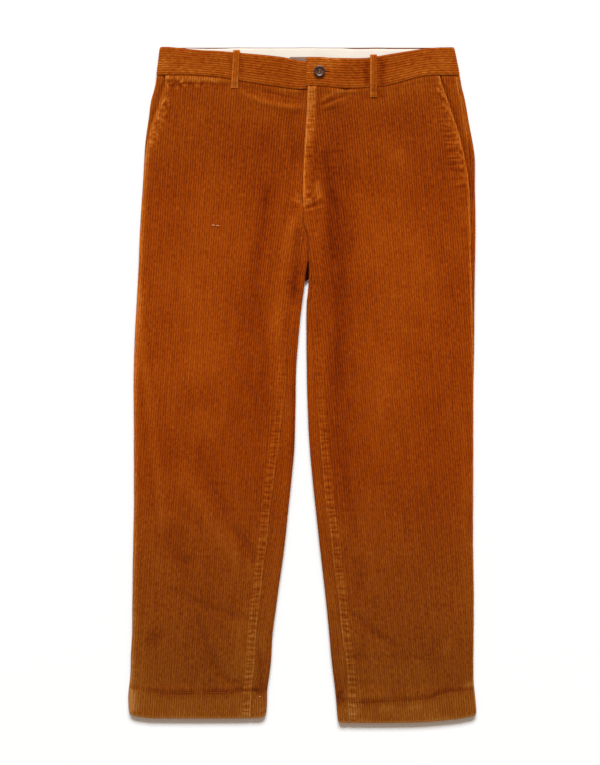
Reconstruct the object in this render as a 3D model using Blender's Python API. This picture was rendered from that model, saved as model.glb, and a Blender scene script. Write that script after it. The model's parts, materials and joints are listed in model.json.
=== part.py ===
"""Corduroy trousers lying flat and face up, each cut piece a closed wall of cloth.

The waist is at +Y and the wearer's left leg at +X. Z = 0 is the surface that the
trousers lie on. Lengths are millimetres, and a mesh is scaled to metres as it is made.

Each leg is a flattened tube. A point on it is found by its distance along the cloth:
over the top from the outer side fold, or under the leg from the same fold. The seams
are given as such distances, so the pieces on both sides of a seam share its curve and
stay SEAM_GAP apart.
"""

import math
from collections import namedtuple

import bpy
import numpy as np

MM = 0.001
DELTA = 0.02  # step for reading a surface's slope
RIGHT, LEFT = -1, 1

# Cloth and how the layers lie.
CLOTH = 1.6
HEM_CLOTH = 2.8
HEM_DEPTH = 39.0
BAND_CLOTH = 2.4
POCKET_CLOTH = 1.2
LOOP_CLOTH = 1.2
FACING_CLOTH = 0.8
LABEL_CLOTH = 0.5
SEAM_GAP = 0.3
WAIST_GAP = 0.5
LEG_GAP = 0.4
TOP_LEVEL = 5.1
FOLD_RADIUS = 3.3
FOLD_SPREAD = 24.0
HEM_LEVEL = 6.7
WAIST_LEVEL = 6.3
WAIST_SPREAD = 60.0
DEEPEST_TROUGH = 1.4
HIGHEST_RIDGE = 2.1

# Lengths down the garment.
WAIST_Y = 466.0
BACK_TOP_Y = 509.3
CROTCH_Y = 259.4
SPLIT_Y = 281.0
HEM_Y = -502.0
DIP_END_Y = 350.0
HEM_SHAPE = 90.0

# Fly: the left front laps over the right front's extension.
UNDERLAP = 30.0
UNDERLAP_END_Y = 285.0
UNDERLAP_TAPER = 45.0
FLY_LIFT = 2.1
FLY_WAIST_LIFT = 2.3
FLY_FLAT = 8.0
FLY_SLOPE = 26.0

# Waistband.
BAND_RADIUS = 3.9
BAND_LEVEL = 7.8
BAND_CENTRE_RISE = 0.8
BAND_LAP_LIFT = 2.7
BAND_LAP_X = 6.0
BAND_UNDERLAP_X = 52.0
BAND_EDGE = 0.45

# Belt loops, label and button.
LOOP_WIDTH = 10.5
LOOP_ARCH = 0.5
LOOP_OVER_TOP = 3.7
LOOP_BELOW_SEAM = 15.0
FRONT_LOOP_BELOW = {RIGHT: 11.6, LEFT: 15.0}
BACK_LOOP_SPACING = 105.0
BACK_LOOP_RISE = 1.5
LOOP_RISE_FLAT = 1.2
LOOP_RISE_SLOPE = 13.0
FACING_X = (-176.0, 190.0)
FACING_BELOW_TOP = 2.2
FACING_HEIGHT = 34.0
LABEL_X = (-18.5, 34.4)
LABEL_TOP_Y = 495.0
LABEL_HEIGHT = 24.0
BUTTON_PLACE = (26.4, 472.0)
BUTTON_RADIUS = 8.6
BUTTON_HEIGHT = 3.0
BUTTON_RIM = 1.7
BUTTON_RECESS = 1.0
BUTTON_HOLE_RADIUS = 0.9
BUTTON_HOLE_OFFSET = 1.7

POCKET_TUCK = 18.0
POCKET_TAIL = 10.0
POCKET_STEP = 7.0

Edge = namedtuple("Edge", "y x")
OUTER = {
    RIGHT: [
        Edge(509, -214.9), Edge(490, -217.0), Edge(472, -219.4), Edge(454, -221.5),
        Edge(430, -227.1), Edge(400, -231.9), Edge(370, -236.0), Edge(309, -239.8),
        Edge(249, -243.8), Edge(158, -247.8), Edge(83, -251.8), Edge(-30, -253.8),
        Edge(-188, -253.7), Edge(-324, -255.6), Edge(-437, -258.5), Edge(-480, -262.6),
        Edge(-504, -262.0),
    ],
    LEFT: [
        Edge(509, 230.0), Edge(490, 233.9), Edge(472, 237.5), Edge(454, 240.2),
        Edge(430, 245.2), Edge(400, 251.1), Edge(370, 256.8), Edge(339, 260.8),
        Edge(300, 260.8), Edge(249, 261.8), Edge(128, 260.1), Edge(-8, 258.3),
        Edge(-143, 258.0), Edge(-324, 258.4), Edge(-437, 257.7), Edge(-480, 261.7),
        Edge(-504, 263.0),
    ],
}
# The line between the legs down to the crotch, which is the fly edge in front.
CENTRE = [
    Edge(510, 8.6), Edge(447, 7.8), Edge(386, 5.0), Edge(328, 2.1), Edge(281, 1.2),
    Edge(259.4, 2.3),
]
INNER = {
    RIGHT: [
        Edge(259.4, 2.3), Edge(247, 2.2), Edge(219, 8.4), Edge(193, 7.6), Edge(173, 7.0),
        Edge(158, 5.4), Edge(128, 1.1), Edge(83, -4.2), Edge(38, -8.1), Edge(-30, -9.8),
        Edge(-98, -11.9), Edge(-143, -16.4), Edge(-234, -25.6), Edge(-324, -37.7),
        Edge(-415, -46.1), Edge(-456, -52.6), Edge(-490, -53.2), Edge(-504, -54.8),
    ],
    LEFT: [
        Edge(259.4, 2.3), Edge(247, 2.2), Edge(219, 8.4), Edge(193, 8.6), Edge(173, 10.0),
        Edge(158, 9.3), Edge(128, 7.4), Edge(83, 6.6), Edge(38, 6.8), Edge(-30, 9.0),
        Edge(-98, 11.9), Edge(-143, 15.5), Edge(-234, 25.5), Edge(-324, 35.6),
        Edge(-415, 44.2), Edge(-460, 50.1), Edge(-504, 54.5),
    ],
}

# Distances over the top from a side fold to a seam or a pocket's edge.
Seam = namedtuple("Seam", "y over")
OUTSEAM = {
    RIGHT: [Seam(510, 0.8), Seam(-510, 0.8)],
    LEFT: [
        Seam(510, 6.5), Seam(403, 7.8), Seam(296, 9.8), Seam(204, 9.6), Seam(113, 7.0),
        Seam(38, 3.0), Seam(-22, 1.0), Seam(-510, 0.8),
    ],
}
INSEAM = {
    RIGHT: [
        Seam(259.4, 0.0), Seam(219, 9.0), Seam(173, 14.9), Seam(122, 16.2), Seam(68, 17.6),
        Seam(8, 16.2), Seam(-83, 24.6), Seam(-173, 28.2), Seam(-264, 28.6), Seam(-324, 27.5), Seam(-510, 27.0),
    ],
    LEFT: [
        Seam(259.4, 0.0), Seam(219, 3.0), Seam(173, 5.5), Seam(62, 11.1), Seam(8, 13.7),
        Seam(-83, 17.4), Seam(-173, 17.3), Seam(-234, 19.1), Seam(-371, 20.0),
        Seam(-416, 22.8), Seam(-481, 18.2), Seam(-510, 17.5),
    ],
}
POCKET_EDGE = {
    RIGHT: [
        Seam(466, 15.5), Seam(457, 16.2), Seam(425, 14.9), Seam(403, 9.1), Seam(366, 4.3),
        Seam(342, 1.1),
    ],
    LEFT: [
        Seam(466, 32.5), Seam(422, 26.9), Seam(386, 20.7), Seam(347, 17.4), Seam(315, 12.0),
        Seam(296, 10.1),
    ],
}

# Curves across the garment.
Line = namedtuple("Line", "x y")
WAIST_SEAM = {
    RIGHT: [
        Line(-225, 466.0), Line(-189, 467.3), Line(-142, 465.2), Line(-109, 461.3),
        Line(-84, 456.6), Line(-47, 450.9), Line(-3, 445.4), Line(60, 446.5),
    ],
    LEFT: [
        Line(0, 450.0), Line(23, 450.0), Line(53, 447.1), Line(72, 446.5), Line(103, 448.5),
        Line(127, 450.9), Line(154, 457.5), Line(173, 463.1), Line(204, 466.6), Line(245, 466.0),
    ],
}
BAND_TOP = {
    RIGHT: [
        Line(-222, 509.3), Line(-205, 509.8), Line(-188, 508.5), Line(-154, 504.9),
        Line(-127, 503.8), Line(-106, 502.0), Line(-84, 500.0), Line(-50, 496.9),
        Line(-24, 493.3), Line(-3, 488.6), Line(20, 487.0), Line(60, 487.0),
    ],
    LEFT: [
        Line(0, 492.8), Line(18, 493.9), Line(53, 492.5), Line(94, 493.0), Line(113, 495.5),
        Line(133, 499.0), Line(164, 504.0), Line(185, 507.2), Line(210, 509.0), Line(240, 509.3),
    ],
}
HEM_LINE = {
    RIGHT: [
        Line(-265, -490.0), Line(-261, -494.0), Line(-256, -497.5), Line(-240, -501.3),
        Line(-225, -502.8), Line(-150, -503.2), Line(-75, -502.6), Line(-62, -501.6),
        Line(-54, -497.5),
    ],
    LEFT: [
        Line(52, -507.0), Line(60, -509.6), Line(100, -509.9), Line(150, -509.6),
        Line(215, -506.0), Line(249, -500.7), Line(259, -496.5), Line(264, -491.0),
    ],
}

# A fold is a soft ridge (height over 0) or trough (under 0) along a bent line from
# (x0, y0) to (x1, y1). bow is how far its middle lies off the straight line, to the
# left as one looks along it. The two spreads are its half widths on the left and right.
Fold = namedtuple("Fold", "x0 y0 x1 y1 bow left right height")
FOLDS = [
    # Wearer's right leg.
    Fold(-48, 294, -75, 146, -2, 9, 9, -1.3),
    Fold(-63, 131, -59, -11, 1, 7, 8, -0.8),
    Fold(-17, 232, -39, 75, -4, 8, 8, 1.4),
    Fold(-39, 75, -35, -23, 0, 8, 8, 0.7),
    Fold(-8, 216, -17, 121, 1, 6, 6, -1.0),
    Fold(-9, 415, -9, 330, 0, 12, 9, -0.7),
    Fold(-247, 116, -210, -216, 2, 6, 7, 1.1),
    Fold(-234, -77, -222, -219, -1, 6, 6, -1.0),
    Fold(-181, -125, -84, -279, -8, 15, 11, 1.0),
    Fold(-136, -140, -112, -195, -2, 9, 8, -1.1),
    Fold(-103, -216, -72, -267, 3, 7, 7, -1.1),
    Fold(-207, -222, -166, -273, -6, 9, 9, -0.7),
    Fold(-202, -192, -151, -234, 0, 6, 8, 0.5),
    Fold(-195, -309, -65, -356, -5, 6, 6, -0.9),
    Fold(-157, -345, -128, -436, -2, 6, 6, -0.7),
    Fold(-128, -433, -89, -454, -3, 6, 6, -1.1),
    Fold(-93, 442, 2, 418, -6, 6, 6, 1.1),
    Fold(-190, 330, -150, 210, 5, 22, 22, 0.6),
    Fold(-120, -10, -150, -120, 6, 16, 20, 0.6),
    # Wearer's left leg.
    Fold(36, 354, 44, 279, -0, 8, 6, -1.2),
    Fold(44, 279, 51, 185, -4, 13, 6, -1.3),
    Fold(50, 170, 53, 53, 3, 14, 7, -1.3),
    Fold(51, 60, 57, -98, -1, 14, 7, -1.2),
    Fold(57, -98, 80, -234, -1, 9, 7, -1.0),
    Fold(24, 255, 32, -60, 1, 7, 6, 1.0),
    Fold(83, -264, 87, -312, 0, 7, 6, -0.9),
    Fold(68, -412, 98, -410, 0, 6, 6, -1.1),
    Fold(98, -410, 202, -412, 0, 6, 6, -0.4),
    Fold(80, -347, 145, -394, -4, 6, 7, -0.6),
    Fold(120, 372, 160, 318, 0, 20, 18, 0.6),
    Fold(170, 220, 188, 150, 4, 22, 22, 0.7),
    Fold(205, 60, 196, -150, 6, 18, 24, 0.6),
    Fold(150, -230, 200, -330, 8, 18, 20, 0.5),
]

# Rows across a leg: one at each start, then steps evenly spaced to the next start.
RowBand = namedtuple("RowBand", "start steps")
LEG_ROWS = [
    RowBand(WAIST_Y, 8), RowBand(300.0, 1), RowBand(UNDERLAP_END_Y, 5),
    RowBand(CROTCH_Y, 4), RowBand(242.0, 4), RowBand(214.0, 3), RowBand(60.0, 11),
    RowBand(HEM_Y + HEM_DEPTH + 2.0, 1), RowBand(HEM_Y + HEM_DEPTH - 1.0, 3),
    RowBand(HEM_Y, 0),
]

CLOTH_COLOUR = (0.28, 0.055, 0.006, 1.0)
BAND_COLOUR = (0.33, 0.075, 0.012, 1.0)
FACING_COLOUR = (0.91, 0.81, 0.68, 1.0)
LABEL_COLOUR = (0.13, 0.11, 0.12, 1.0)
BUTTON_COLOUR = (0.10, 0.045, 0.035, 1.0)


def along(table, at):
    """A smooth curve through a table's two columns, read at the given values. It stays
    between the values of neighbouring rows."""
    known, values = np.array(sorted(table), float).T
    secants = np.diff(values) / np.diff(known)
    before, after = np.append(secants[0], secants), np.append(secants, secants[-1])
    limit = 2.5 * np.minimum(abs(before), abs(after)) * (before * after > 0)
    slopes = np.clip(np.gradient(values, known), -limit, limit)
    at = np.clip(at, known[0], known[-1])
    i = np.clip(np.searchsorted(known, at) - 1, 0, len(known) - 2)
    step = known[i + 1] - known[i]
    t = (at - known[i]) / step
    rise = values[i + 1] - values[i]
    start = slopes[i] * step - rise
    end = rise - slopes[i + 1] * step
    return values[i] + t * rise + t * (1 - t) * ((1 - t) * start + t * end)


def ramp(t):
    """0 below t = 0 and 1 above t = 1, eased at both ends."""
    t = np.clip(t, 0.0, 1.0)
    return t * t * (3 - 2 * t)


def spread(starts, segments):
    """Columns between the given starts, each an array of one value for each row."""
    parts = []
    for first, last, count in zip(starts[:-1], starts[1:], segments):
        share = np.arange(count) / count
        parts.append(first + (last - first) * share)
    return np.concatenate(parts + [starts[-1]], axis=1)


def leg_rows():
    """The nominal y of each row of a leg, from hem to waist, as a column."""
    rows = []
    for band, following in zip(LEG_ROWS[:-1], LEG_ROWS[1:]):
        rows.extend(np.linspace(band.start, following.start, band.steps + 1)[:-1])
    return np.array(rows + [LEG_ROWS[-1].start])[::-1, None]


def fold_relief(x, y):
    """Height of all the folds together, within what the layers leave room for."""
    total = np.zeros(np.broadcast(x, y).shape)
    for fold in FOLDS:
        run_x, run_y = fold.x1 - fold.x0, fold.y1 - fold.y0
        length = math.hypot(run_x, run_y)
        t = ((x - fold.x0) * run_x + (y - fold.y0) * run_y) / length**2
        off = ((y - fold.y0) * run_x - (x - fold.x0) * run_y) / length
        off = off - 4 * fold.bow * t * (1 - t)
        width = np.where(off > 0, fold.left, fold.right)
        ends = ramp(t / 0.3 + 0.5) * ramp((1 - t) / 0.3 + 0.5)
        total = total + fold.height * ends * np.exp(-((off / width) ** 2))
    limit = np.where(total > 0, HIGHEST_RIDGE, DEEPEST_TROUGH)
    return limit * np.tanh(total / limit)


def in_from_fold(s, radius):
    """How far in from a fold a point lies, s along the cloth from the fold's edge."""
    quarter = radius * math.pi / 2
    bent = radius * (1 - np.cos(np.clip(s, 0, quarter) / radius))
    return np.where(s < quarter, bent, s - quarter + radius)


def turned(s, radius):
    """0 at a fold's edge and 1 a quarter turn on."""
    return np.sin(np.clip(s / radius, 0, math.pi / 2))


def split(y):
    """0 where the legs are one tube, and 1 from the crotch down, where they are two."""
    return ramp((SPLIT_Y - y) / (SPLIT_Y - CROTCH_Y))


def outer_x(side, y):
    return along(OUTER[side], y)


def inner_x(side, y):
    line = np.where(y >= CROTCH_Y, along(CENTRE, y), along(INNER[side], y))
    return line + side * LEG_GAP / 2


def tube_length(side, y):
    """Length of cloth across one face of a leg, from outer fold to inner fold."""
    width = side * (outer_x(side, y) - inner_x(side, y))
    return width + (math.pi / 2 - 1) * FOLD_RADIUS * (1 + split(y))


def across(side, y, s):
    """x of a point s along the cloth from the outer fold's edge."""
    rest = tube_length(side, y) - s
    flat, bent = rest, in_from_fold(rest, FOLD_RADIUS)
    from_outer = outer_x(side, y) - side * in_from_fold(s, FOLD_RADIUS)
    from_inner = inner_x(side, y) + side * (flat + (bent - flat) * split(y))
    return np.where(s < rest, from_outer, from_inner)


def placed_y(side, row_y, x, dips=True):
    """Rows are straight, but follow the waist seam at the top and the hem at the foot."""
    hem = ramp((HEM_Y + HEM_SHAPE - row_y) / HEM_SHAPE)
    y = row_y + hem * (along(HEM_LINE[side], x) - HEM_Y)
    if dips:
        waist = ramp((row_y - DIP_END_Y) / (WAIST_Y - DIP_END_Y))
        y = y + waist * (along(WAIST_SEAM[side], x) - WAIST_Y)
    return y


def fly_lift(x, y):
    """How far the left front rises to lie over the right front's extension."""
    lift = FLY_LIFT * ramp((y - CROTCH_Y - 2) / (UNDERLAP_END_Y - CROTCH_Y - 2))
    lift = lift + FLY_WAIST_LIFT * ramp((y - WAIST_Y + 70) / 55)
    past = x - along(CENTRE, y) - underlap(y) - FLY_FLAT
    return lift * (1 - ramp(past / FLY_SLOPE))


def underlap(y):
    return UNDERLAP * ramp((y - UNDERLAP_END_Y) / UNDERLAP_TAPER)


def top_height(side, row_y, s, x, y):
    """Height of the upper face: its rest level, with the folds and thick places raised."""
    rest = tube_length(side, row_y) - s
    fold_rise = 2 * FOLD_RADIUS - TOP_LEVEL
    rises = [
        fold_rise * (1 - ramp((s - FOLD_RADIUS) / FOLD_SPREAD)),
        fold_rise * (1 - ramp((rest - FOLD_RADIUS) / FOLD_SPREAD)) * split(row_y),
        (WAIST_LEVEL - TOP_LEVEL) * (1 - ramp((WAIST_Y - row_y) / WAIST_SPREAD)),
        (HEM_LEVEL - TOP_LEVEL) * ramp((HEM_Y + HEM_DEPTH + 14 - row_y) / 16),
    ]
    level = TOP_LEVEL + np.maximum.reduce(np.broadcast_arrays(*rises))
    calm = ramp((s - 2) / 12) * (1 - split(row_y) + split(row_y) * ramp((rest - 2) / 8))
    calm = calm * ramp((row_y - HEM_Y - 10) / 60) * ramp((WAIST_Y - row_y) / 40)
    return level + calm * fold_relief(x, y)


def top_points(side, row_y, s, lift=None):
    """Points of the upper face, s along the cloth from the outer fold's edge."""
    x = across(side, row_y, s)
    y = placed_y(side, row_y, x)
    face = top_height(side, row_y, s, x, y)
    if lift:
        face = face + lift(x, y)
    rest = tube_length(side, row_y) - s
    z = FOLD_RADIUS + (face - FOLD_RADIUS) * turned(s, FOLD_RADIUS)
    drop = (face - FOLD_RADIUS) * (1 - turned(rest, FOLD_RADIUS))
    return np.stack([x, y, z - split(row_y) * drop], axis=-1)


def loop_rise(x, y):
    """How far the back is raised off the surface by the belt loops under it."""
    rise = 0.0
    for centre in back_loop_places():
        beside = 1 - ramp((abs(x - centre) - LOOP_WIDTH / 2 - LOOP_RISE_FLAT) / LOOP_RISE_SLOPE)
        rise = np.maximum(rise, BACK_LOOP_RISE * beside)
    return rise * ramp((y - WAIST_Y + LOOP_BELOW_SEAM + 26) / 22)


def back_loop_places():
    centre = float(along(CENTRE, BACK_TOP_Y))
    return [centre - BACK_LOOP_SPACING, centre, centre + BACK_LOOP_SPACING]


def loop_columns(side, outer, radius):
    """Distances under the back from the side fold at which its rise over the side's
    belt loop starts, is full, and ends again."""
    centre = back_loop_places()[1 + side]
    reach = side * (outer - centre) + (math.pi / 2 - 1) * radius
    full = LOOP_WIDTH / 2 + LOOP_RISE_FLAT
    return [reach + off for off in (-full - LOOP_RISE_SLOPE, -full, full, full + LOOP_RISE_SLOPE)]


def under_points(side, row_y, s):
    """Points of the lower face, s along the cloth from the outer fold's edge."""
    x = across(side, row_y, s)
    y = placed_y(side, row_y, x, dips=False)
    rest = tube_length(side, row_y) - s
    z = FOLD_RADIUS * (1 - turned(s, FOLD_RADIUS))
    z = z + split(row_y) * FOLD_RADIUS * (1 - turned(rest, FOLD_RADIUS))
    return np.stack([x, y, z + loop_rise(x, y)], axis=-1)


def back_points(side, row_y, path):
    """Points of a back panel. Its path starts at the outer fold's edge and goes under
    the leg: under 0 it is on top at the outseam, and past the leg's width it has come
    round the inner fold onto the top."""
    length = tube_length(side, row_y)
    over = top_points(side, row_y, np.where(path < 0, -path, 2 * length - path))
    under = under_points(side, row_y, np.clip(path, 0, length))
    on_top = (path < 0) | (path > length)
    return np.where(on_top[..., None], over, under)


def inseam(side, y):
    return np.where(y >= CROTCH_Y, 0.0, along(INSEAM[side], np.minimum(y, CROTCH_Y)))


def front_edge(side, y):
    """Distance from the outer fold to the front panel's edge: the pocket, then the seam."""
    end = POCKET_EDGE[side][-1].y
    pocket = along(POCKET_EDGE[side], np.maximum(y, end))
    return np.where(y > end, pocket, along(OUTSEAM[side], y)) + SEAM_GAP / 2


def normals(surface, rows, columns, outward):
    """Unit normals of a surface, which is a function of a row and a column value. They
    are read from the surface itself, so two pieces that share it turn alike at a seam."""
    up = surface(rows + DELTA, columns) - surface(rows - DELTA, columns)
    over = surface(rows, columns + DELTA) - surface(rows, columns - DELTA)
    normal = np.cross(up, over) * outward
    return normal / np.linalg.norm(normal, axis=-1, keepdims=True)


def wall(name, surface, rows, columns, thickness, outward, material, sunk=0.0):
    """A closed wall of cloth: a grid of outer points, sunk below the surface where
    given, and the same grid moved in by the cloth's thickness."""
    rows, columns, thickness, sunk = np.broadcast_arrays(rows, columns, thickness, sunk)
    normal = normals(surface, rows, columns, outward)
    outer = surface(rows, columns) - normal * sunk[..., None]
    inner = outer - normal * thickness[..., None]
    rows, columns = outer.shape[:2]
    index = np.arange(rows * columns).reshape(rows, columns)
    faces = quads(index)[:, ::-1]
    rim = np.concatenate([index[0], index[1:, -1], index[-1, -2::-1], index[-2:0:-1, 0]])
    past = np.roll(rim, -1)
    sheet = rows * columns
    sides = np.stack([rim, past, past + sheet, rim + sheet], axis=1)
    faces = np.concatenate([faces, faces[:, ::-1] + sheet, sides])
    if outward < 0:
        faces = faces[:, ::-1]
    points = np.concatenate([outer.reshape(-1, 3), inner.reshape(-1, 3)]) * MM
    mesh = bpy.data.meshes.new(name)
    mesh.from_pydata(points.tolist(), [], faces.tolist())
    mesh.shade_smooth()
    mesh.set_sharp_from_angle(angle=math.radians(50))
    mesh.materials.append(material)
    obj = bpy.data.objects.new(name, mesh)
    bpy.context.scene.collection.objects.link(obj)
    return obj


def quads(index):
    corners = [index[:-1, :-1], index[:-1, 1:], index[1:, 1:], index[1:, :-1]]
    return np.stack([corner.ravel() for corner in corners], axis=1)


def panel_cloth(rows):
    """The wall's thickness down a panel: one layer, and two where the hem turns up."""
    return CLOTH + (HEM_CLOTH - CLOTH) * (rows < HEM_Y + HEM_DEPTH)


def front_panel(name, side, material):
    """From the pocket edge or the outseam to the fly or the inseam."""
    rows = leg_rows()
    first = front_edge(side, rows)
    last = tube_length(side, rows) - inseam(side, rows) - SEAM_GAP / 2
    if side == RIGHT:
        last = last + underlap(rows)
    quarter = FOLD_RADIUS * math.pi / 2
    bend = np.maximum(quarter, first + 3)
    before = np.minimum(tube_length(side, rows) - quarter, last - 3)
    s = spread([first, bend, before, last], [2, 16, 2])
    lift = fly_lift if side == LEFT else None

    def surface(row, column):
        return top_points(side, row, column, lift)

    return wall(name, surface, rows, s, panel_cloth(rows), side, material)


def back_panel(name, side, material):
    """From the outseam round the outer fold, under the leg, to the seat seam or,
    round the inner fold, to the inseam."""
    rows = leg_rows()
    length = tube_length(side, rows)
    quarter = FOLD_RADIUS * math.pi / 2
    first = -along(OUTSEAM[side], rows) + SEAM_GAP / 2
    last = length + inseam(side, rows) - SEAM_GAP / 2
    over_inner = np.minimum(length + quarter, last - 3)
    inner = np.minimum(length, over_inner - 3)
    under_inner = np.minimum(length - quarter, inner - 3)
    over_loop = [s + 0 * rows for s in loop_columns(side, outer_x(side, WAIST_Y), FOLD_RADIUS)]
    starts = [first, 0 * rows, 0 * rows + quarter, *over_loop]
    starts += [under_inner - LOOP_RISE_SLOPE, under_inner, inner, over_inner, last]
    path = spread(starts, [2, 3, 2, 2, 1, 2, 1, 1, 2, 3, 2])

    def surface(row, column):
        return back_points(side, row, column)

    return wall(name, surface, rows, path, panel_cloth(rows), -side, material)


def pocket_facing(name, side, material):
    """The cloth behind a slanted pocket, level with the outseam and tucked under the
    front by one layer at the pocket's edge."""
    end = POCKET_EDGE[side][-1].y
    rows = np.linspace(end - POCKET_TAIL, WAIST_Y, 11)[:, None]
    edge = along(POCKET_EDGE[side], np.maximum(rows, end))
    first = along(OUTSEAM[side], rows) + SEAM_GAP / 2
    s = spread([first, edge + 2, edge + POCKET_TUCK], [5, 2])
    sunk = (CLOTH + SEAM_GAP) * (1 - ramp((edge - s - 1) / POCKET_STEP))

    def surface(row, column):
        return top_points(side, row, column)

    return wall(name, surface, rows, s, POCKET_CLOTH, side, material, sunk)


def band_height(side, x):
    """Height of the front waistband's face. It rises over the label, and the left
    side's lap rises over the right side's underlap."""
    height = BAND_LEVEL + BAND_CENTRE_RISE * (1 - ramp((abs(x - 12) - 44) / 26))
    if side == LEFT:
        height = height + BAND_LAP_LIFT * (1 - ramp((x - BAND_UNDERLAP_X - 3) / 30))
    return height


def band_points(side, share, path):
    """Points of a waistband, share of the way up it. Its path starts at the side fold:
    over 0 it goes under to the centre back, and under 0 over the front."""
    edge = outer_x(side, WAIST_Y + share * (BACK_TOP_Y - WAIST_Y))
    s = abs(path)
    x = edge - side * in_from_fold(s, BAND_RADIUS)
    lower = along(WAIST_SEAM[side], x) + WAIST_GAP
    front_y = lower + share * (along(BAND_TOP[side], x) - lower)
    back_lower = WAIST_Y + WAIST_GAP
    back_y = back_lower + share * (BACK_TOP_Y - back_lower)
    quarter = BAND_RADIUS * math.pi / 2
    y = front_y + (back_y - front_y) * ramp(path / (2 * quarter) + 0.5)
    turn = turned(s, BAND_RADIUS)
    top = BAND_RADIUS + (band_height(side, x) - BAND_RADIUS) * turn
    under = BAND_RADIUS * (1 - turn) + loop_rise(x, y)
    z = np.where(path < 0, top, under)
    return np.stack([x, y, z], axis=-1)


def band_edge(share):
    """1 at a waistband's two long edges and 0 away from them, where it is thickest."""
    return 1 - ramp(np.minimum(share, 1 - share) / 0.09)


def waistband(name, side, material):
    """From the fly round the side to the centre back."""
    share = np.array([0.0, 0.1, 0.5, 0.9, 1.0])[:, None]
    edge = outer_x(side, WAIST_Y + share * (BACK_TOP_Y - WAIST_Y))
    bend = (math.pi / 2 - 1) * BAND_RADIUS
    front_end = BAND_LAP_X if side == LEFT else BAND_UNDERLAP_X
    centre = along(CENTRE, BACK_TOP_Y) + side * SEAM_GAP / 2
    first = -(side * (edge - front_end) + bend)
    last = side * (edge - centre) + bend
    quarter = BAND_RADIUS * math.pi / 2 + 0 * share
    over_loop = loop_columns(side, edge, BAND_RADIUS)
    full = LOOP_WIDTH / 2 + LOOP_RISE_FLAT
    starts = [first, -quarter, 0 * share, quarter, *over_loop]
    starts += [last - full - LOOP_RISE_SLOPE, last - full, last]
    path = spread(starts, [16, 3, 3, 1, 2, 1, 2, 1, 2, 1])
    sunk = BAND_EDGE * band_edge(share)

    def surface(row, column):
        return band_points(side, row, column)

    return wall(name, surface, share, path, BAND_CLOTH - 2 * sunk, -side, material, sunk)


def strip(name, x, y, height, thickness, material):
    """A flat piece between two x and two y, its top at the height given for each point.
    It has columns where the loops under the back raise it."""
    full = LOOP_WIDTH / 2 + LOOP_RISE_FLAT
    bends = [full + LOOP_RISE_SLOPE * share for share in (0.0, 0.5, 1.0)]
    places = [centre + off * way for centre in back_loop_places() for off in bends for way in (-1, 1)]
    x = np.array([x[0], *sorted(place for place in places if x[0] < place < x[1]), x[1]])[None, :]
    y = np.array(y)[:, None]

    def surface(row, column):
        return np.stack([column, row, height(column, row)], axis=-1)

    return wall(name, surface, y, x, thickness, -1, material)


def waistband_facing(material):
    """The pale cloth inside the back waistband, from where the front band hides it."""
    top = BACK_TOP_Y - FACING_BELOW_TOP
    lift = BAND_CLOTH + SEAM_GAP + FACING_CLOTH
    return strip(
        "waistband_facing", FACING_X, (top - FACING_HEIGHT, top),
        lambda x, y: lift + loop_rise(x, y), FACING_CLOTH, material,
    )


def waistband_label(material):
    """A blank label on the facing."""
    lift = BAND_CLOTH + SEAM_GAP + FACING_CLOTH + SEAM_GAP + LABEL_CLOTH
    return strip(
        "waistband_label", LABEL_X, (LABEL_TOP_Y - LABEL_HEIGHT, LABEL_TOP_Y),
        lambda x, y: lift + loop_rise(x, y), LABEL_CLOTH, material,
    )


def front_loop(name, side, x_top, x_foot, material):
    """A belt loop over the front waistband, its foot sewn to the panel below."""
    seam = float(along(WAIST_SEAM[side], x_top))
    top = float(along(BAND_TOP[side], x_top)) + LOOP_OVER_TOP
    foot = seam - FRONT_LOOP_BELOW[side]
    rows = np.concatenate([np.linspace(foot, seam - 1, 6), np.linspace(seam + 2, top, 6)])

    def surface(row, column):
        centre = x_foot + (x_top - x_foot) * (row - foot) / (top - foot)
        on_band = BAND_LEVEL + SEAM_GAP + LOOP_CLOTH
        on_panel = WAIST_LEVEL + SEAM_GAP + LOOP_CLOTH
        arch = LOOP_ARCH * np.clip((row - seam) * (top - row), 0, None) / (top - seam) ** 2
        z = on_panel + (on_band - on_panel) * ramp((row - seam + 8) / 7) + 4 * arch
        return np.stack([centre + column, row, z], axis=-1)

    columns = np.linspace(-0.5, 0.5, 4)[None, :] * LOOP_WIDTH
    return wall(name, surface, rows[:, None], columns, LOOP_CLOTH, -1, material)


def back_loop(name, x, material):
    """A belt loop under the back waistband, flat on the surface."""
    return strip(
        name, (x - LOOP_WIDTH / 2, x + LOOP_WIDTH / 2),
        (WAIST_Y - LOOP_BELOW_SEAM, BACK_TOP_Y - 1),
        lambda x, y: LOOP_CLOTH + 0 * x, LOOP_CLOTH, material,
    )


def cylinder(name, radius, height, place, segments):
    """A closed cylinder standing on its place."""
    x, y, z = place
    bpy.ops.mesh.primitive_cylinder_add(
        vertices=segments, radius=radius * MM, depth=height * MM,
        location=(x * MM, y * MM, (z + height / 2) * MM),
    )
    obj = bpy.context.object
    obj.name = name
    return obj


def cut(target, cutter, name):
    """Cuts a helper out of a piece and hides the helper."""
    modifier = target.modifiers.new(name, "BOOLEAN")
    modifier.object = cutter
    modifier.operation = "DIFFERENCE"
    cutter.hide_render = True
    cutter.display_type = "WIRE"


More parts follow.
